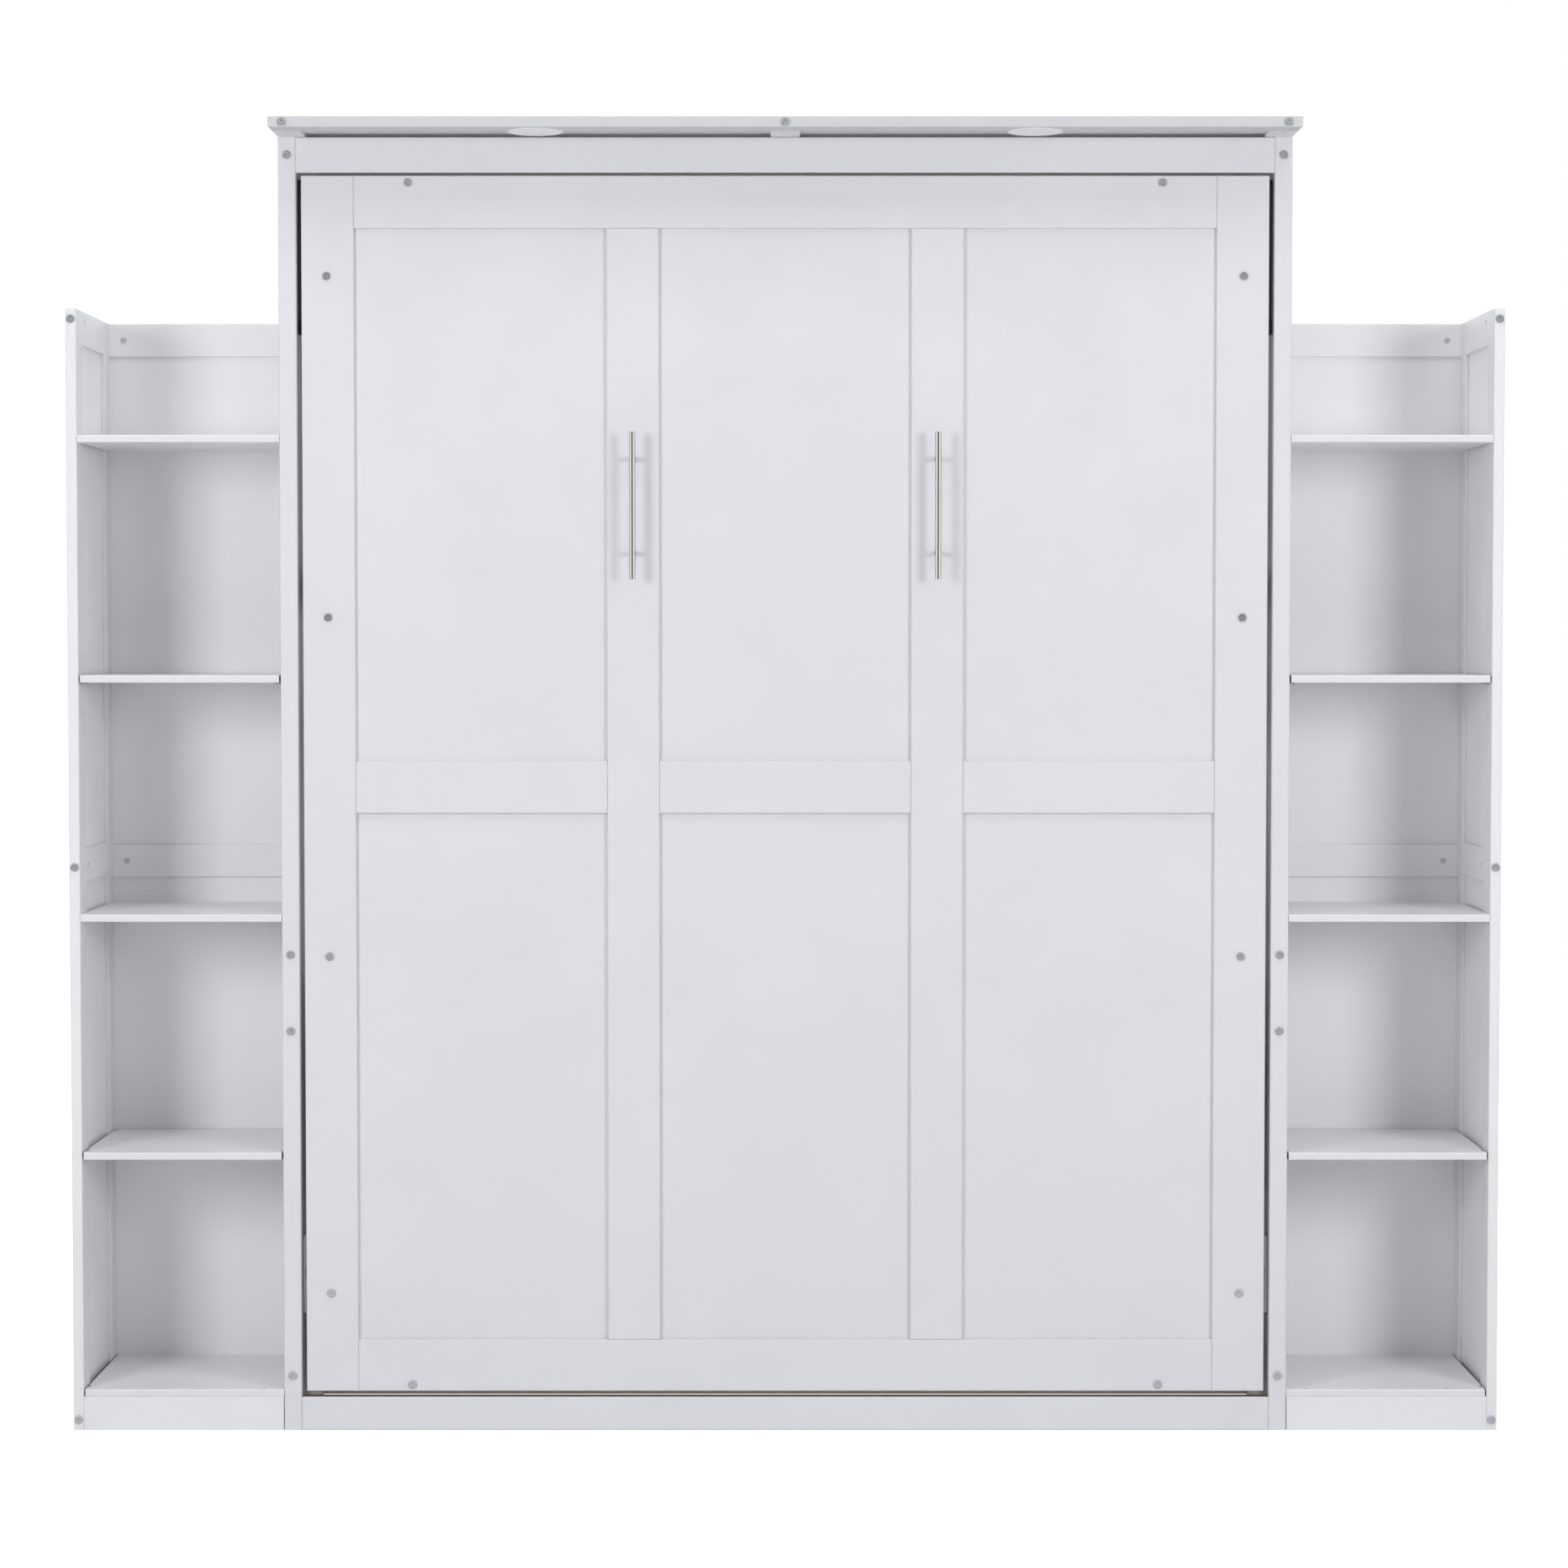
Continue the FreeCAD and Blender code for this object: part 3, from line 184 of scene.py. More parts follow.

# A dark sheet that only reflections see, glowing faintly: a painted reflection, which gives bare metal a dark
# line.
dark_half_width = 3.3
dark_distance = 7.4
dark_foot = 0.7
dark_height = 3.2
painted_reflection_tone = "#665A56"
dark_y = posts_front - dark_distance
painted_reflection_sheet = flat_sheet("painted_dark_reflection_sheet", [(-dark_half_width, dark_y, dark_foot),
                                              (dark_half_width, dark_y, dark_foot),
                                              (dark_half_width, dark_y, dark_height),
                                              (-dark_half_width, dark_y, dark_height)])
painted_reflection_sheet.visible_camera = False
painted_reflection_sheet.visible_diffuse = False
painted_reflection_sheet.visible_shadow = False
painted_reflection_paint = bpy.data.materials.new("painted_dark_reflection")
painted_reflection_paint.use_nodes = True
tree = painted_reflection_paint.node_tree
tree.nodes.clear()
reflection_glow = add_node(tree, "ShaderNodeEmission", Color=linear(painted_reflection_tone), Strength=1.0)
add_node(tree, "ShaderNodeOutputMaterial", Surface=reflection_glow.outputs[0])
painted_reflection_sheet.data.materials.append(painted_reflection_paint)


# Cabinet. Two framed sides, held together by a header, a kick rail and four back rails. All of it is
# medium-density fibreboard, machined with grooves for thin panels and sprayed white before it is bolted up.

# Sprayed paint dries with peel about 2.5 mm across, and its tone ripples over a hand's width. Board fibre is
# finer than 0.9 mm, and is drawn this coarse so that it shows.
orange_peel_mm = 2.5
coat_ripple_mm = 160.0
ripple_range = (0.3, 0.7)
board_fibre_mm = 0.9
fibre_detail = 4.0
fibre_roughness = 0.7
peel_depth = 0.00005
peel_strength = 0.03
paint_ior = 1.47
paint_tones = ("#D9DADE", "#DFE0E4")
satin_gloss = (0.42, 0.52)
board_dark = "#6B4E36"
board_light = "#92714F"
board_roughness = 0.9
edge_paint = "#E0E1E3"
edge_roughness = 0.4
square_on = 0.97


def blank_material(name):
    """A material with an empty tree, and the piece's own coordinates in it."""
    material = bpy.data.materials.new(name)
    material.use_nodes = True
    tree = material.node_tree
    tree.nodes.clear()
    return material, tree, add_node(tree, "ShaderNodeTexCoord").outputs["Object"]


def sprayed_fibreboard(name, tones, gloss, bare_side=None, banded_side=None):
    """Sprayed paint on board: a slow ripple of tone and fine orange peel. The ends along bare_side are brown
    board, and the edges along banded_side have greyer paint."""
    material, tree, place = blank_material(name)
    ripple = add_node(tree, "ShaderNodeTexNoise", Vector=place, Scale=1000 / coat_ripple_mm)
    shade = add_node(tree, "ShaderNodeMix", {"data_type": "RGBA"}, n0=ripple.outputs["Fac"],
                     n6=linear(tones[0]), n7=linear(tones[1]))
    peel = add_node(tree, "ShaderNodeTexNoise", Vector=place, Scale=1000 / orange_peel_mm)
    sheen = add_node(tree, "ShaderNodeMapRange", Value=ripple.outputs["Fac"], From_Min=ripple_range[0],
                     From_Max=ripple_range[1], To_Min=gloss[0], To_Max=gloss[1])
    colour = shade.outputs[2]
    rough = sheen.outputs["Result"]
    other_sides = []
    if bare_side:
        fibre = add_node(tree, "ShaderNodeTexNoise", Vector=place, Scale=1000 / board_fibre_mm,
                         Detail=fibre_detail, Roughness=fibre_roughness)
        board = add_node(tree, "ShaderNodeMix", {"data_type": "RGBA"}, n0=fibre.outputs["Fac"],
                         n6=linear(board_dark), n7=linear(board_light))
        other_sides.append((bare_side, board.outputs[2], board_roughness))
    if banded_side:
        other_sides.append((banded_side, linear(edge_paint), edge_roughness))
    for side, side_colour, side_roughness in other_sides:
        facing = add_node(tree, "ShaderNodeNewGeometry")
        along = add_node(tree, "ShaderNodeVectorMath", {"operation": "DOT_PRODUCT"},
                         n0=facing.outputs["True Normal"], n1=side)
        size = add_node(tree, "ShaderNodeMath", {"operation": "ABSOLUTE"}, n0=along.outputs["Value"])
        there = add_node(tree, "ShaderNodeMath", {"operation": "GREATER_THAN"}, n0=size.outputs[0],
                         n1=square_on)
        both = add_node(tree, "ShaderNodeMix", {"data_type": "RGBA"}, n0=there.outputs[0], n6=colour,
                        n7=side_colour)
        sheen_there = add_node(tree, "ShaderNodeMix", n0=there.outputs[0], n2=rough, n3=side_roughness)
        colour, rough = both.outputs[2], sheen_there.outputs[0]
    relief = add_node(tree, "ShaderNodeBump", Strength=peel_strength, Distance=peel_depth,
                      Height=peel.outputs["Fac"])
    coat = add_node(tree, "ShaderNodeBsdfPrincipled", Base_Color=colour, Roughness=rough,
                    Normal=relief.outputs["Normal"], IOR=paint_ior)
    add_node(tree, "ShaderNodeOutputMaterial", Surface=coat.outputs[0])
    return material


def finish(material, *names):
    """Gives solids of the frame their finish."""
    for name in names:
        nodes[name].data.materials.clear()
        nodes[name].data.materials.append(material)


# Satin white: the front surfaces read as one even, slightly cool white.
satin_white = sprayed_fibreboard("satin_white_on_fibreboard", paint_tones, satin_gloss)
# The kick rail's top edge was sawn after spraying and shows brown in the gap under the face.
satin_white_sawn_top = sprayed_fibreboard("satin_white_with_sawn_top_edge", paint_tones, satin_gloss,
                                          bare_side=(0, 0, 1))
finish(satin_white, "front_post_left", "front_post_right", "rear_posts", "cabinet_side_rails_left",
       "cabinet_side_rails_right", "cabinet_side_panels", "cabinet_back_rails", "header_rail")
finish(satin_white_sawn_top, "kick_rail")


# Top frame. A flat ladder of the same board, with thin panels tongued in, lies on the posts and oversails
# the front. Its underside was sprayed glossier, and catches the light from the floor.

# Gloss white: the same paint laid on smoother, so it shows soft reflections.
gloss_white = sprayed_fibreboard("gloss_white_on_fibreboard", paint_tones, (0.28, 0.31))
finish(gloss_white, "top_rear_rail", "top_cross_rails", "top_panels")
# The front rail's paint is greyer, so its edge reads darker than the posts: painted shade, as the light falls
# off towards the top of the bed.
front_white_painted_shade = sprayed_fibreboard("satin_white_with_painted_shade", ("#C8C9CD", "#CFD0D3"), (0.42, 0.5))
finish(front_white_painted_shade, "top_front_rail")


# Puck lights. Two round fittings let into the underside of the top frame: a moulded white ring round a
# frosted diffuser, here switched off.

grain_detail = 3.0
plastic_ior = 1.49
plastic_relief = 0.2


def moulded_plastic(name, dark, light, gloss, grain_mm, relief_depth):
    """A plastic or powder coat. Its grain, grain_mm across, varies its tone, its gloss and its relief."""
    material, tree, place = blank_material(name)
    grain = add_node(tree, "ShaderNodeTexNoise", Vector=place, Scale=1000 / grain_mm,
                     Detail=grain_detail)
    tone = add_node(tree, "ShaderNodeMix", {"data_type": "RGBA"}, n0=grain.outputs["Fac"], n6=linear(dark),
                    n7=linear(light))
    sheen = add_node(tree, "ShaderNodeMapRange", Value=grain.outputs["Fac"], To_Min=gloss[0], To_Max=gloss[1])
    relief = add_node(tree, "ShaderNodeBump", Strength=plastic_relief, Distance=relief_depth,
                      Height=grain.outputs["Fac"])
    surface = add_node(tree, "ShaderNodeBsdfPrincipled", Base_Color=tone.outputs[2],
                       Roughness=sheen.outputs["Result"], Normal=relief.outputs["Normal"], IOR=plastic_ior)
    add_node(tree, "ShaderNodeOutputMaterial", Surface=surface.outputs[0])
    return material


# Frosted acrylic: even and milky, a shade greyer than the paint round it.
frosted_acrylic = moulded_plastic("frosted_acrylic", "#EDEEF0", "#F3F4F5", (0.25, 0.35), grain_mm=1.5,
                                  relief_depth=0.00005)
finish(frosted_acrylic, "puck_light_left", "puck_light_right")


# Bookcases. One open case stands against each side of the cabinet: a framed outer side, rails and thin
# panels at the back, five shelves and a plinth. The shelves' sawn ends are bare where they leave a gap.

case_tones = ("#E3E4E6", "#E9EAEC")
shelf_tones = ("#EBECEE", "#F0F1F3")
# The cases' frames were sprayed in a brighter white than the bed, with the same soft even sheen.
case_white = sprayed_fibreboard("bright_satin_white_on_fibreboard", case_tones, (0.38, 0.48))
# The backs' thin board is the smoothest white, and is drawn brighter than the same board at the sides:
# painted light that keeps the bays bright.
back_white_and_painted_light = sprayed_fibreboard("white_faced_back_with_painted_light", ("#F2F3F5", "#F6F7F8"), (0.33, 0.36))
# The sides' thin board is smooth too, but only a little brighter than the frame round it.
side_white = sprayed_fibreboard("white_melamine_faced_side", shelf_tones, (0.33, 0.36))
# The shelves are the glossiest white, so their tops mirror the backs a little. Their sawn ends show as brown
# fibre, and their front edges, sprayed on their own, are as grey as the frames.
shelf_white = sprayed_fibreboard("gloss_white_shelf_with_sawn_ends", shelf_tones, (0.3, 0.33),
                                 bare_side=(1, 0, 0), banded_side=(0, 1, 0))
for side in ("left", "right"):
    finish(case_white, "bookcase_%s_front_stile" % side, "bookcase_%s_side_rails" % side)
    finish(shelf_white, "bookcase_%s_fixed_shelves" % side, "bookcase_%s_adjustable_shelves" % side)
finish(case_white, "bookcase_rear_stiles", "bookcase_plinths")
finish(side_white, "bookcase_side_panels")
finish(back_white_and_painted_light, "bookcase_back_panels", "bookcase_back_rails")


# Steel plates and pins. Pivot plates, strut brackets and shelf pins are pressed or turned from mild steel and
# then zinc plated. They keep the shapes of the frame.

metal_relief = 0.1


def bare_metal(name, dark, light, gloss, grain_mm, relief_depth, rim="#FFFFFF"):
    """A plated or ground metal. Its spangle or polishing ripple is grain_mm across, and its colour sinks to
    the tone of rim at grazing angles, a painted shade at the edges; white paints none."""
    material, tree, place = blank_material(name)
    grain = add_node(tree, "ShaderNodeTexNoise", Vector=place, Scale=1000 / grain_mm,
                     Detail=grain_detail)
    tone = add_node(tree, "ShaderNodeMix", {"data_type": "RGBA"}, n0=grain.outputs["Fac"], n6=linear(dark),
                    n7=linear(light))
    sheen = add_node(tree, "ShaderNodeMapRange", Value=grain.outputs["Fac"], To_Min=gloss[0], To_Max=gloss[1])
    relief = add_node(tree, "ShaderNodeBump", Strength=metal_relief, Distance=relief_depth,
                      Height=grain.outputs["Fac"])
    surface = add_node(tree, "ShaderNodeBsdfPrincipled", Base_Color=tone.outputs[2], Metallic=1.0,
                       Roughness=sheen.outputs["Result"], Normal=relief.outputs["Normal"],
                       Specular_Tint=linear(rim))
    add_node(tree, "ShaderNodeOutputMaterial", Surface=surface.outputs[0])
    return material


# Bright zinc: a pale cool grey with a soft shine and a faint spangle about 5 mm across.
bright_zinc = bare_metal("bright_zinc_on_steel", "#A6A8AB", "#C2C4C7", (0.24, 0.36), grain_mm=5.0,
                         relief_depth=0.0001)
finish(bright_zinc, "shelf_pins", "hinge_plate_left", "hinge_plate_right", "strut_brackets",
       "bed_hinge_plates", "bed_strut_brackets", "leg_pivot_pins")


# Bolts and barrel nuts. Each joint of the frames is drawn up by a steel bolt with a wide crowned head and a
# hexagon socket, which turns in a barrel nut across the board. They are nickel plated and never painted.

# The crown's outline, from rim to flat top, in shares of the head's radius and height.
head_steps = ((1.0, 0.0), (1.0, 0.4), (0.95, 0.62), (0.86, 0.82), (0.75, 0.95), (0.7, 1.0))
socket_radius = 0.0026
socket_depth = 0.0021
socket_mouth = (0.0023, 0.0041)
socket_mouth_depth = 0.0005
groove_radii = (0.0046, 0.0059)
turned_groove_depth = 0.0007
crown_rise = 0.48
shank_share = 0.4
socket_sides = 6
bolt_sides = 44
shank_sides = 20
bolt_turn_seed = 7
merge_distance = 1e-6
crisp_angle = math.radians(25)


def solids_of(name):
    """The boxes round the separate solids of a node, from a merged copy of its mesh."""
    copy = bmesh.new()
    copy.from_mesh(nodes[name].data)
    bmesh.ops.remove_doubles(copy, verts=copy.verts, dist=merge_distance)
    left = set(copy.verts)
    boxes = []
    while left:
        waiting = [left.pop()]
        reached = list(waiting)
        while waiting:
            for edge in waiting.pop().link_edges:
                for vertex in edge.verts:
                    if vertex in left:
                        left.remove(vertex)
                        waiting.append(vertex)
                        reached.append(vertex)
        low = Vector([min(vertex.co[axis] for vertex in reached) for axis in range(3)])
        high = Vector([max(vertex.co[axis] for vertex in reached) for axis in range(3)])
        boxes.append((low, high))
    copy.free()
    return sorted(boxes, key=lambda box: tuple(box[0]))


def new_tree(name, sizes):
    """A geometry tree with named sizes and a material as its inputs."""
    tree = bpy.data.node_groups.new(name, "GeometryNodeTree")
    tree.is_modifier = True
    tree.interface.new_socket("Geometry", in_out="INPUT", socket_type="NodeSocketGeometry")
    for size in sizes:
        tree.interface.new_socket(size, in_out="INPUT", socket_type="NodeSocketFloat")
    tree.interface.new_socket("Material", in_out="INPUT", socket_type="NodeSocketMaterial")
    tree.interface.new_socket("Geometry", in_out="OUTPUT", socket_type="NodeSocketGeometry")
    return tree


def made_by_tree(name, tree, places, attributes, sizes, material, body, stands_for):
    """Runs a tree on a set of places and keeps the result as a plain mesh that rides on a body."""
    mesh = bpy.data.meshes.new(name + "_places")
    mesh.from_pydata([tuple(place) for place in places], [], [])
    for label, (kind, values) in attributes.items():
        attribute = mesh.attributes.new(label, kind, "POINT")
        for item, value in zip(attribute.data, values):
            if kind == "FLOAT":
                item.value = value
            else:
                item.vector = value
    source = bpy.data.objects.new(name + "_places", mesh)
    scene.collection.objects.link(source)
    modifier = source.modifiers.new("build", "NODES")
    modifier.node_group = tree
    for socket in tree.interface.items_tree:
        if socket.in_out == "INPUT" and socket.name in sizes:
            modifier[socket.identifier] = sizes[socket.name]
        elif socket.in_out == "INPUT" and socket.name == "Material":
            modifier[socket.identifier] = material
    evaluated = source.evaluated_get(bpy.context.evaluated_depsgraph_get())
    plain = bpy.data.meshes.new_from_object(evaluated)
    source.modifiers.remove(modifier)
    bpy.data.objects.remove(source)
    plain.name = name
    piece = bpy.data.objects.new(name, plain)
    scene.collection.objects.link(piece)
    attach(piece, body)
    if stands_for:
        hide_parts(stands_for)


def end_of_tree(tree, geometry, material):
    """Instances made real, shaded smooth but for their crisp edges, and given their material."""
    realized = add_node(tree, "GeometryNodeRealizeInstances", Geometry=geometry)
    smooth = add_node(tree, "GeometryNodeSetShadeSmooth", {"domain": "FACE"}, Geometry=realized.outputs[0])
    angle = add_node(tree, "GeometryNodeInputMeshEdgeAngle")
    sharp = add_node(tree, "FunctionNodeCompare", {"operation": "GREATER_THAN"}, n0=angle.outputs[0],
                     n1=crisp_angle)
    crisp = add_node(tree, "GeometryNodeSetShadeSmooth", {"domain": "EDGE"}, Geometry=smooth.outputs[0],
                     Selection=sharp.outputs[0], Shade_Smooth=False)
    painted = add_node(tree, "GeometryNodeSetMaterial", Geometry=crisp.outputs[0], Material=material)
    out = tree.nodes.new("NodeGroupOutput")
    tree.links.new(painted.outputs[0], out.inputs[0])


bolt_tree = new_tree("crowned_bolts", ("Head Radius", "Head Height", "Shank Radius", "Socket Radius",
                                       "Socket Depth", "Mouth Low Radius", "Mouth High Radius", "Mouth Depth",
                                       "Groove Inner Radius", "Groove Outer Radius", "Groove Depth"))
given = bolt_tree.nodes.new("NodeGroupInput").outputs
height = given["Head Height"]
# Each turned solid has a foot radius, a top radius, a length and a height to start at, as sums for the tree.
# The cutters stand clear above the head, so that they leave no skin on it.
turned_solids = []
for (low_radius, low_height), (high_radius, high_height) in zip(head_steps, head_steps[1:]):
    turned_solids.append(("head", bolt_sides, ((given["Head Radius"], "MULTIPLY", low_radius),
                                               (given["Head Radius"], "MULTIPLY", high_radius),
                                               (height, "MULTIPLY", high_height - low_height),
                                               (height, "MULTIPLY", low_height))))
for label, sides, foot, top, length, lift in (
        ("socket", socket_sides, "Socket Radius", "Socket Radius", (height, "MULTIPLY", 1.0),
         (height, "SUBTRACT", given["Socket Depth"])),
        ("mouth", bolt_sides, "Mouth Low Radius", "Mouth High Radius",
         (given["Mouth Depth"], "MULTIPLY", 2.0), (height, "SUBTRACT", given["Mouth Depth"])),
        ("groove", bolt_sides, "Groove Outer Radius", "Groove Outer Radius", (height, "MULTIPLY", 1.0),
         (height, "SUBTRACT", given["Groove Depth"])),
        ("core", bolt_sides, "Groove Inner Radius", "Groove Inner Radius", (height, "MULTIPLY", 3.0),
         (height, "MULTIPLY", 0.0)),
        ("shank", shank_sides, "Shank Radius", "Shank Radius", (1.0, "MULTIPLY", 1.0),
         (1.0, "MULTIPLY", -1.0))):
    turned_solids.append((label, sides, ((given[foot], "MULTIPLY", 1.0), (given[top], "MULTIPLY", 1.0),
                                         length, lift)))
made = {}
for label, sides, sizes in turned_solids:
    foot, top, length, lift = [add_node(bolt_tree, "ShaderNodeMath", {"operation": operation}, n0=first,
                                        n1=second).outputs[0] for first, operation, second in sizes]
    cone = add_node(bolt_tree, "GeometryNodeMeshCone", Vertices=sides, Radius_Top=top, Radius_Bottom=foot,
                    Depth=length)
    place = add_node(bolt_tree, "ShaderNodeCombineXYZ", Z=lift)
    lifted = add_node(bolt_tree, "GeometryNodeTransform", Geometry=cone.outputs["Mesh"],
                      Translation=place.outputs[0])
    made.setdefault(label, []).append(lifted.outputs[0])
head_blank = add_node(bolt_tree, "GeometryNodeMeshBoolean", {"operation": "UNION"})
for step in made["head"]:
    bolt_tree.links.new(step, head_blank.inputs[1])
groove_ring = add_node(bolt_tree, "GeometryNodeMeshBoolean", {"operation": "DIFFERENCE"},
                       n0=made["groove"][0], n1=made["core"][0])
head_cut = add_node(bolt_tree, "GeometryNodeMeshBoolean", {"operation": "DIFFERENCE"},
                    n0=head_blank.outputs[0])
for cutter in (groove_ring.outputs[0], made["socket"][0], made["mouth"][0]):
    bolt_tree.links.new(cutter, head_cut.inputs[1])
# Each bolt was tightened to another turn of its socket.
spin = add_node(bolt_tree, "FunctionNodeRandomValue", {"data_type": "FLOAT"}, n2=0.0,
                n3=math.tau / socket_sides, Seed=bolt_turn_seed)
facing_front = add_node(bolt_tree, "ShaderNodeCombineXYZ", X=math.radians(90))
turned_head = add_node(bolt_tree, "ShaderNodeCombineXYZ", Z=spin.outputs[1])
heads = add_node(bolt_tree, "GeometryNodeInstanceOnPoints", Points=given["Geometry"],
                 Instance=head_cut.outputs[0], Rotation=facing_front.outputs[0])
heads_spun = add_node(bolt_tree, "GeometryNodeRotateInstances", Instances=heads.outputs[0],
                      Rotation=turned_head.outputs[0])
length = add_node(bolt_tree, "GeometryNodeInputNamedAttribute", {"data_type": "FLOAT"}, Name="shank_length")
stretch = add_node(bolt_tree, "ShaderNodeCombineXYZ", X=1.0, Y=1.0, Z=length.outputs[0])
shanks = add_node(bolt_tree, "GeometryNodeInstanceOnPoints", Points=given["Geometry"],
                  Instance=made["shank"][0], Rotation=facing_front.outputs[0], Scale=stretch.outputs[0])
bolt_parts = add_node(bolt_tree, "GeometryNodeJoinGeometry")
bolt_tree.links.new(heads_spun.outputs[0], bolt_parts.inputs[0])
bolt_tree.links.new(shanks.outputs[0], bolt_parts.inputs[0])
end_of_tree(bolt_tree, bolt_parts.outputs[0], given["Material"])

nut_slot_width = 0.0016
nut_slot_depth = 0.0014
nut_sides = 32
nut_tree = new_tree("barrel_nuts", ("Radius", "Length", "Slot Width", "Slot Depth"))
given = nut_tree.nodes.new("NodeGroupInput").outputs
barrel = add_node(nut_tree, "GeometryNodeMeshCylinder", Vertices=nut_sides, Radius=given["Radius"],
                  Depth=given["Length"])
bar_size = add_node(nut_tree, "ShaderNodeCombineXYZ", X=1.0, Y=given["Slot Width"], Z=given["Slot Depth"])
slot_bar = add_node(nut_tree, "GeometryNodeMeshCube", Size=bar_size.outputs[0])
slot_lift = add_node(nut_tree, "ShaderNodeMath", {"operation": "MULTIPLY"}, n0=given["Length"], n1=0.5)
slotted = add_node(nut_tree, "GeometryNodeMeshBoolean", {"operation": "DIFFERENCE"},
                   n0=barrel.outputs["Mesh"])
slot_place = add_node(nut_tree, "ShaderNodeCombineXYZ", Z=slot_lift.outputs[0])
slot_end = add_node(nut_tree, "GeometryNodeTransform", Geometry=slot_bar.outputs["Mesh"],
                    Translation=slot_place.outputs[0])
nut_tree.links.new(slot_end.outputs[0], slotted.inputs[1])
entry = add_node(nut_tree, "GeometryNodeInputNamedAttribute", {"data_type": "FLOAT_VECTOR"}, Name="entry")
aim = add_node(nut_tree, "FunctionNodeAlignRotationToVector", {"axis": "Z"}, Vector=entry.outputs[0])
nuts = add_node(nut_tree, "GeometryNodeInstanceOnPoints", Points=given["Geometry"],
                Instance=slotted.outputs[0], Rotation=aim.outputs[0])
end_of_tree(nut_tree, nuts.outputs[0], given["Material"])

# Nickel plate: a cool bright silver with a soft shine, so the crown is pale and only its groove and socket
# are dark.
nickel_plate = bare_metal("nickel_plate_on_steel", "#C2C6CA", "#D0D3D7", (0.24, 0.3), grain_mm=4.0,
                          relief_depth=0.00005)
nuts_middle_height = 1.1
bolt_slimness = 2


def bolts_and_nuts(node, body):
    """Detailed bolts and nuts where a node of the frame has them. The bolts are long from front to back. Each
    nut shows its slot towards the middle of the bed."""
    boxes = solids_of(node)
    bolts = [(low, high) for low, high in boxes if high.y - low.y > bolt_slimness * (high.z - low.z)]
    barrels = [(low, high) for low, high in boxes if high.y - low.y <= bolt_slimness * (high.z - low.z)]
    low, high = bolts[0]
    head_radius = (high.x - low.x) / 2
    head_height = head_radius * crown_rise
    seats = [Vector(((low.x + high.x) / 2, low.y + head_height, (low.z + high.z) / 2)) for low, high in bolts]
    lengths = [high.y - low.y - head_height for low, high in bolts]
    made_by_tree(node + "_crowned", bolt_tree, seats, {"shank_length": ("FLOAT", lengths)},
                 {"Head Radius": head_radius, "Head Height": head_height,
                  "Shank Radius": head_radius * shank_share,
                  "Socket Radius": socket_radius, "Socket Depth": socket_depth,
                  "Mouth Low Radius": socket_mouth[0], "Mouth High Radius": socket_mouth[1],
                  "Mouth Depth": socket_mouth_depth, "Groove Inner Radius": groove_radii[0],
                  "Groove Outer Radius": groove_radii[1], "Groove Depth": turned_groove_depth},
                 nickel_plate, body, node)
    middles = [(low + high) / 2 for low, high in barrels]
    entries = []
    for (low, high), middle in zip(barrels, middles):
        across = high.x - low.x > high.z - low.z
        inwards = Vector((-middle.x, 0, 0)) if across else Vector((0, 0, nuts_middle_height - middle.z))
        entries.append(inwards.normalized())
    low, high = barrels[0]
    short, long = sorted((high.x - low.x, high.z - low.z))
    made_by_tree(node + "_barrel_nuts", nut_tree, middles, {"entry": ("FLOAT_VECTOR", entries)},
                 {"Radius": short / 2, "Length": long, "Slot Width": nut_slot_width,
                  "Slot Depth": nut_slot_depth}, bright_zinc, body, None)


bolts_and_nuts("frame_bolts", "cabinet")
bolts_and_nuts("bed_bolts", "bed")


# Wall screws. Four round-head steel screws go through the bookcases' back rails into the wall's studs. They
# were dipped in phosphate after their heads were formed.

# Grey phosphate: an even light grey that spreads the light, so the small heads show no sharp highlight.
grey_phosphate = bare_metal("grey_phosphate_on_steel", "#C4C6C9", "#D4D6D8", (0.3, 0.4), grain_mm=2.0,
                            relief_depth=0.0001)
finish(grey_phosphate, "wall_screws")


# Gas struts. A cylinder drawn from steel tube is powder coated and pinned to the cabinet on each side. Its
# ground and hard-chromed rod ends at the bed's bracket.

# Textured powder coat: matt dark grey. The real grain is a little finer than 1 mm, and is drawn this coarse
# so that it shows.
powder_coat = moulded_plastic("textured_grey_powder_coat", "#343436", "#414143", (0.42, 0.56), grain_mm=1.0,
                              relief_depth=0.0002)
# Hard chrome: a sharp mirror that reads nearly black and white, with a slow ripple from grinding.
hard_chrome = bare_metal("hard_chrome_on_steel", "#BFC0C2", "#CBCCCE", (0.05, 0.1), grain_mm=30.0,
                         relief_depth=0.00002)
finish(powder_coat, "strut_cylinder_left", "strut_cylinder_right")
finish(hard_chrome, "strut_rod_left", "strut_rod_right")


# Pivot bushes. Flanged sleeves turned from white nylon are pressed into the bed's rails, and the cabinet's
# pins turn in them.

# White nylon: a warm, waxy white beside the cooler paint.
white_nylon = moulded_plastic("white_nylon", "#D6D6CF", "#E1E1DA", (0.38, 0.46), grain_mm=3.0,
                              relief_depth=0.0001)
finish(white_nylon, "pivot_bushes")


# Face of the bed. Stiles and rails of the same board, tongued together round six thin panels. Each member
# was rounded along its front before it was joined, so every joint shows as a fine V.

finish(satin_white, "face_stile_left", "face_stile_right", "face_top_rail", "face_bottom_rail",
       "face_inner_stiles", "face_mid_rails", "face_panels")


# Bed frame. Two deep side rails and two end rails of the same sprayed board are bolted up behind the face,
# and keep the mattress.

finish(satin_white, "bed_side_rail_left", "bed_side_rail_right", "bed_end_rails")


# Slats. Thirteen battens of planed pine lie across the back of the face, between the side rails, and are
# left bare.

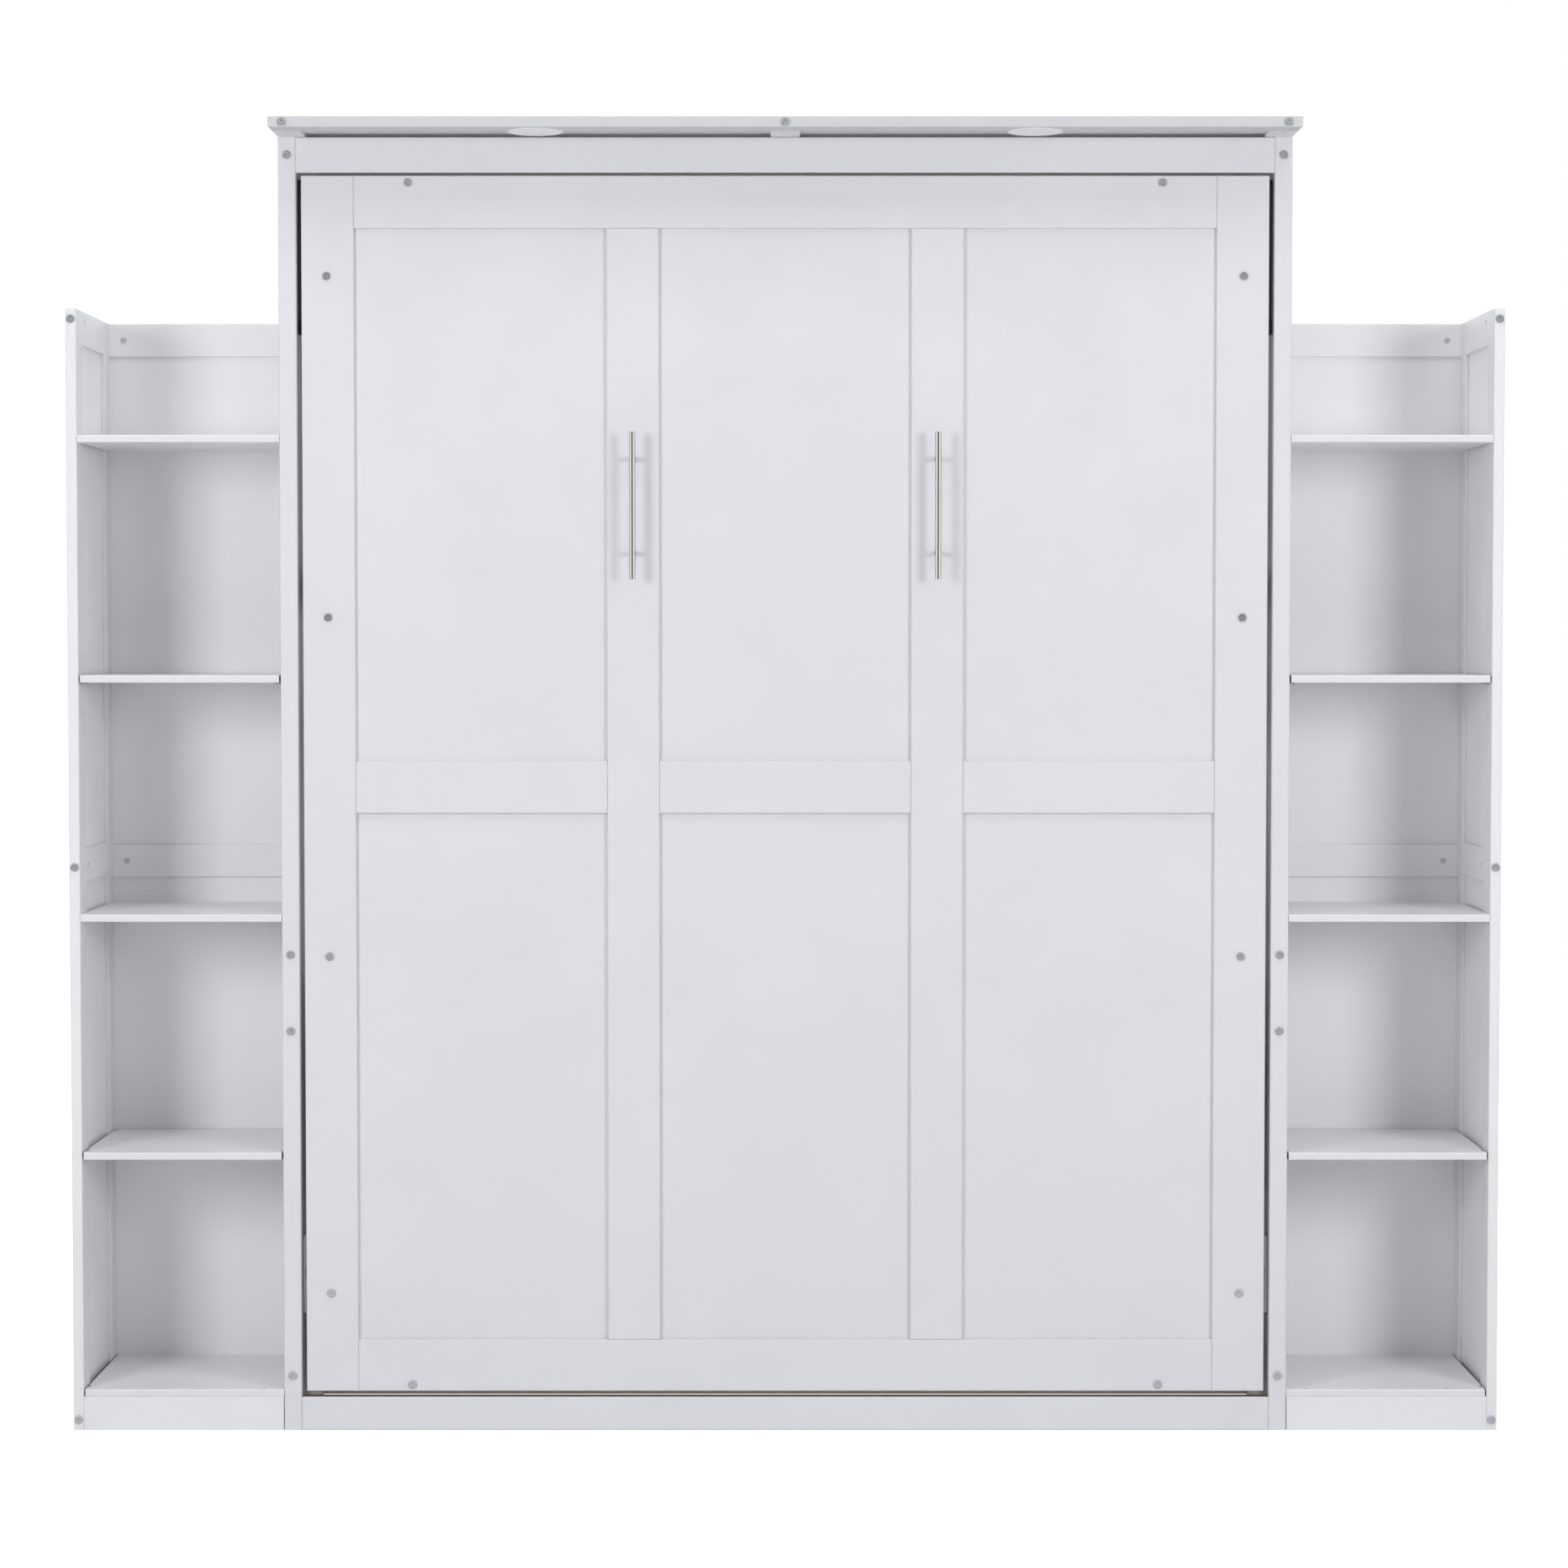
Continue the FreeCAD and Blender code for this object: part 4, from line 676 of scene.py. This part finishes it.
# Planed pine: pale yellow, with brown growth lines a few millimetres apart that run along each slat.
pine_light = "#DCC08C"
pine_dark = "#B98F56"
growth_line_mm = 9.0
growth_stretch = 0.04
growth_waver = 0.6
growth_step = 0.07
planing_strength = 0.15
planing_depth = 0.0002
pine_roughness = 0.62
planed_pine, tree, place = blank_material("planed_pine")
along_slat = add_node(tree, "ShaderNodeMapping", Vector=place, Scale=(growth_stretch, 1.0, 1.0))
rings = add_node(tree, "ShaderNodeTexNoise", Vector=along_slat.outputs[0], Scale=1000 / growth_line_mm,
                 Detail=grain_detail, Distortion=growth_waver)
lines = add_node(tree, "ShaderNodeMath", {"operation": "PINGPONG"}, n0=rings.outputs["Fac"],
                 n1=growth_step)
contrast = add_node(tree, "ShaderNodeMapRange", Value=lines.outputs[0], From_Max=growth_step)
wood = add_node(tree, "ShaderNodeMix", {"data_type": "RGBA"}, n0=contrast.outputs["Result"],
                n6=linear(pine_light), n7=linear(pine_dark))
planing = add_node(tree, "ShaderNodeBump", Strength=planing_strength, Distance=planing_depth,
                   Height=contrast.outputs["Result"])
surface = add_node(tree, "ShaderNodeBsdfPrincipled", Base_Color=wood.outputs[2],
                   Roughness=pine_roughness, Normal=planing.outputs["Normal"])
add_node(tree, "ShaderNodeOutputMaterial", Surface=surface.outputs[0])
finish(planed_pine, "bed_slats")


# Pull handles. A round stainless bar on two turned posts is screwed to each inner stile. The bar is
# centreless ground, so it mirrors the soft boxes and the painted dark reflection sheet as fine upright lines.

bar_sides = 96
bar_bevel = 0.0006
post_sides = 48
post_foot_flare = 0.0009
post_foot_height = 0.001
post_neck_height = 0.0024
handle_crisp_angle = math.radians(30)
# Ground stainless steel: a warm silver, sharp enough to mirror the painted dark reflection sheet as one fine
# brown line. Its colour is tinted dark towards the bar's edges at grazing angles: painted shade for the dark
# surroundings those edges face.
handle_steel = bare_metal("ground_stainless_steel", "#D8D4D1", "#E0DDDA", (0.04, 0.06), grain_mm=40.0,
                          relief_depth=0.00001, rim="#4A4644")


def turned(profile, start, direction, sides):
    """A closed turned solid: radii at distances along an axis, as vertices and faces."""
    start, direction = Vector(start), Vector(direction)
    across = Vector((1, 0, 0))
    other = direction.cross(across)
    verts = [start + direction * profile[0][0]]
    for distance, radius in profile:
        for number in range(sides):
            turn = math.tau * number / sides
            outwards = across * math.cos(turn) + other * math.sin(turn)
            verts.append(start + direction * distance + outwards * radius)
    verts.append(start + direction * profile[-1][0])
    faces = []
    for number in range(sides):
        following = (number + 1) % sides
        faces.append((0, 1 + following, 1 + number))
        for ring in range(len(profile) - 1):
            here, there = 1 + ring * sides, 1 + (ring + 1) * sides
            faces.append((here + number, here + following, there + following, there + number))
        last = 1 + (len(profile) - 1) * sides
        faces.append((last + number, last + following, len(verts) - 1))
    return verts, faces


def turned_piece(name, parts, material):
    """Joins turned solids into one mesh with smooth sides and crisp edges."""
    shape = bmesh.new()
    for verts, faces in parts:
        made = [shape.verts.new(vert) for vert in verts]
        for face in faces:
            shape.faces.new([made[index] for index in face])
    bmesh.ops.recalc_face_normals(shape, faces=shape.faces)
    for face in shape.faces:
        face.smooth = True
    for edge in shape.edges:
        edge.smooth = edge.calc_face_angle(0) < handle_crisp_angle
    mesh = bpy.data.meshes.new(name)
    shape.to_mesh(mesh)
    shape.free()
    mesh.materials.append(material)
    piece = bpy.data.objects.new(name, mesh)
    scene.collection.objects.link(piece)
    return piece


for side in ("left", "right"):
    boxes = solids_of("handle_" + side)
    bar_low, bar_high = max(boxes, key=lambda box: box[1].z - box[0].z)
    radius = (bar_high.x - bar_low.x) / 2
    centre = (bar_low + bar_high) / 2
    bar_length = bar_high.z - bar_low.z
    bar_profile = [(0, radius - bar_bevel), (bar_bevel, radius), (bar_length - bar_bevel, radius),
                   (bar_length, radius - bar_bevel)]
    parts = [turned(bar_profile, (centre.x, centre.y, bar_low.z), (0, 0, 1), bar_sides)]
    for low, high in boxes:
        if high.z - low.z < bar_length / 2:
            post_radius = (high.z - low.z) / 2
            reach = high.y - centre.y
            foot_radius = post_radius + post_foot_flare
            post_profile = [(0, foot_radius), (post_foot_height, foot_radius),
                            (post_neck_height, post_radius), (reach, post_radius)]
            foot = (centre.x, high.y, (low.z + high.z) / 2)
            parts.append(turned(post_profile, foot, (0, -1, 0), post_sides))
    handle = turned_piece("pull_handle_" + side, parts, handle_steel)
    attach(handle, "bed")
    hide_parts("handle_" + side)


# Folding legs. Flat steel bars, powder coated dark grey, hang in the side gaps and swing out under the foot
# end. A black moulded cap saves the floor.

# Moulded black plastic: near black and dull, with a fine even grain.
black_cap = moulded_plastic("black_moulded_plastic", "#121213", "#1C1C1E", (0.5, 0.6), grain_mm=1.5,
                            relief_depth=0.0002)
finish(powder_coat, "leg_left", "leg_right")
finish(black_cap, "leg_foot_left", "leg_foot_right")
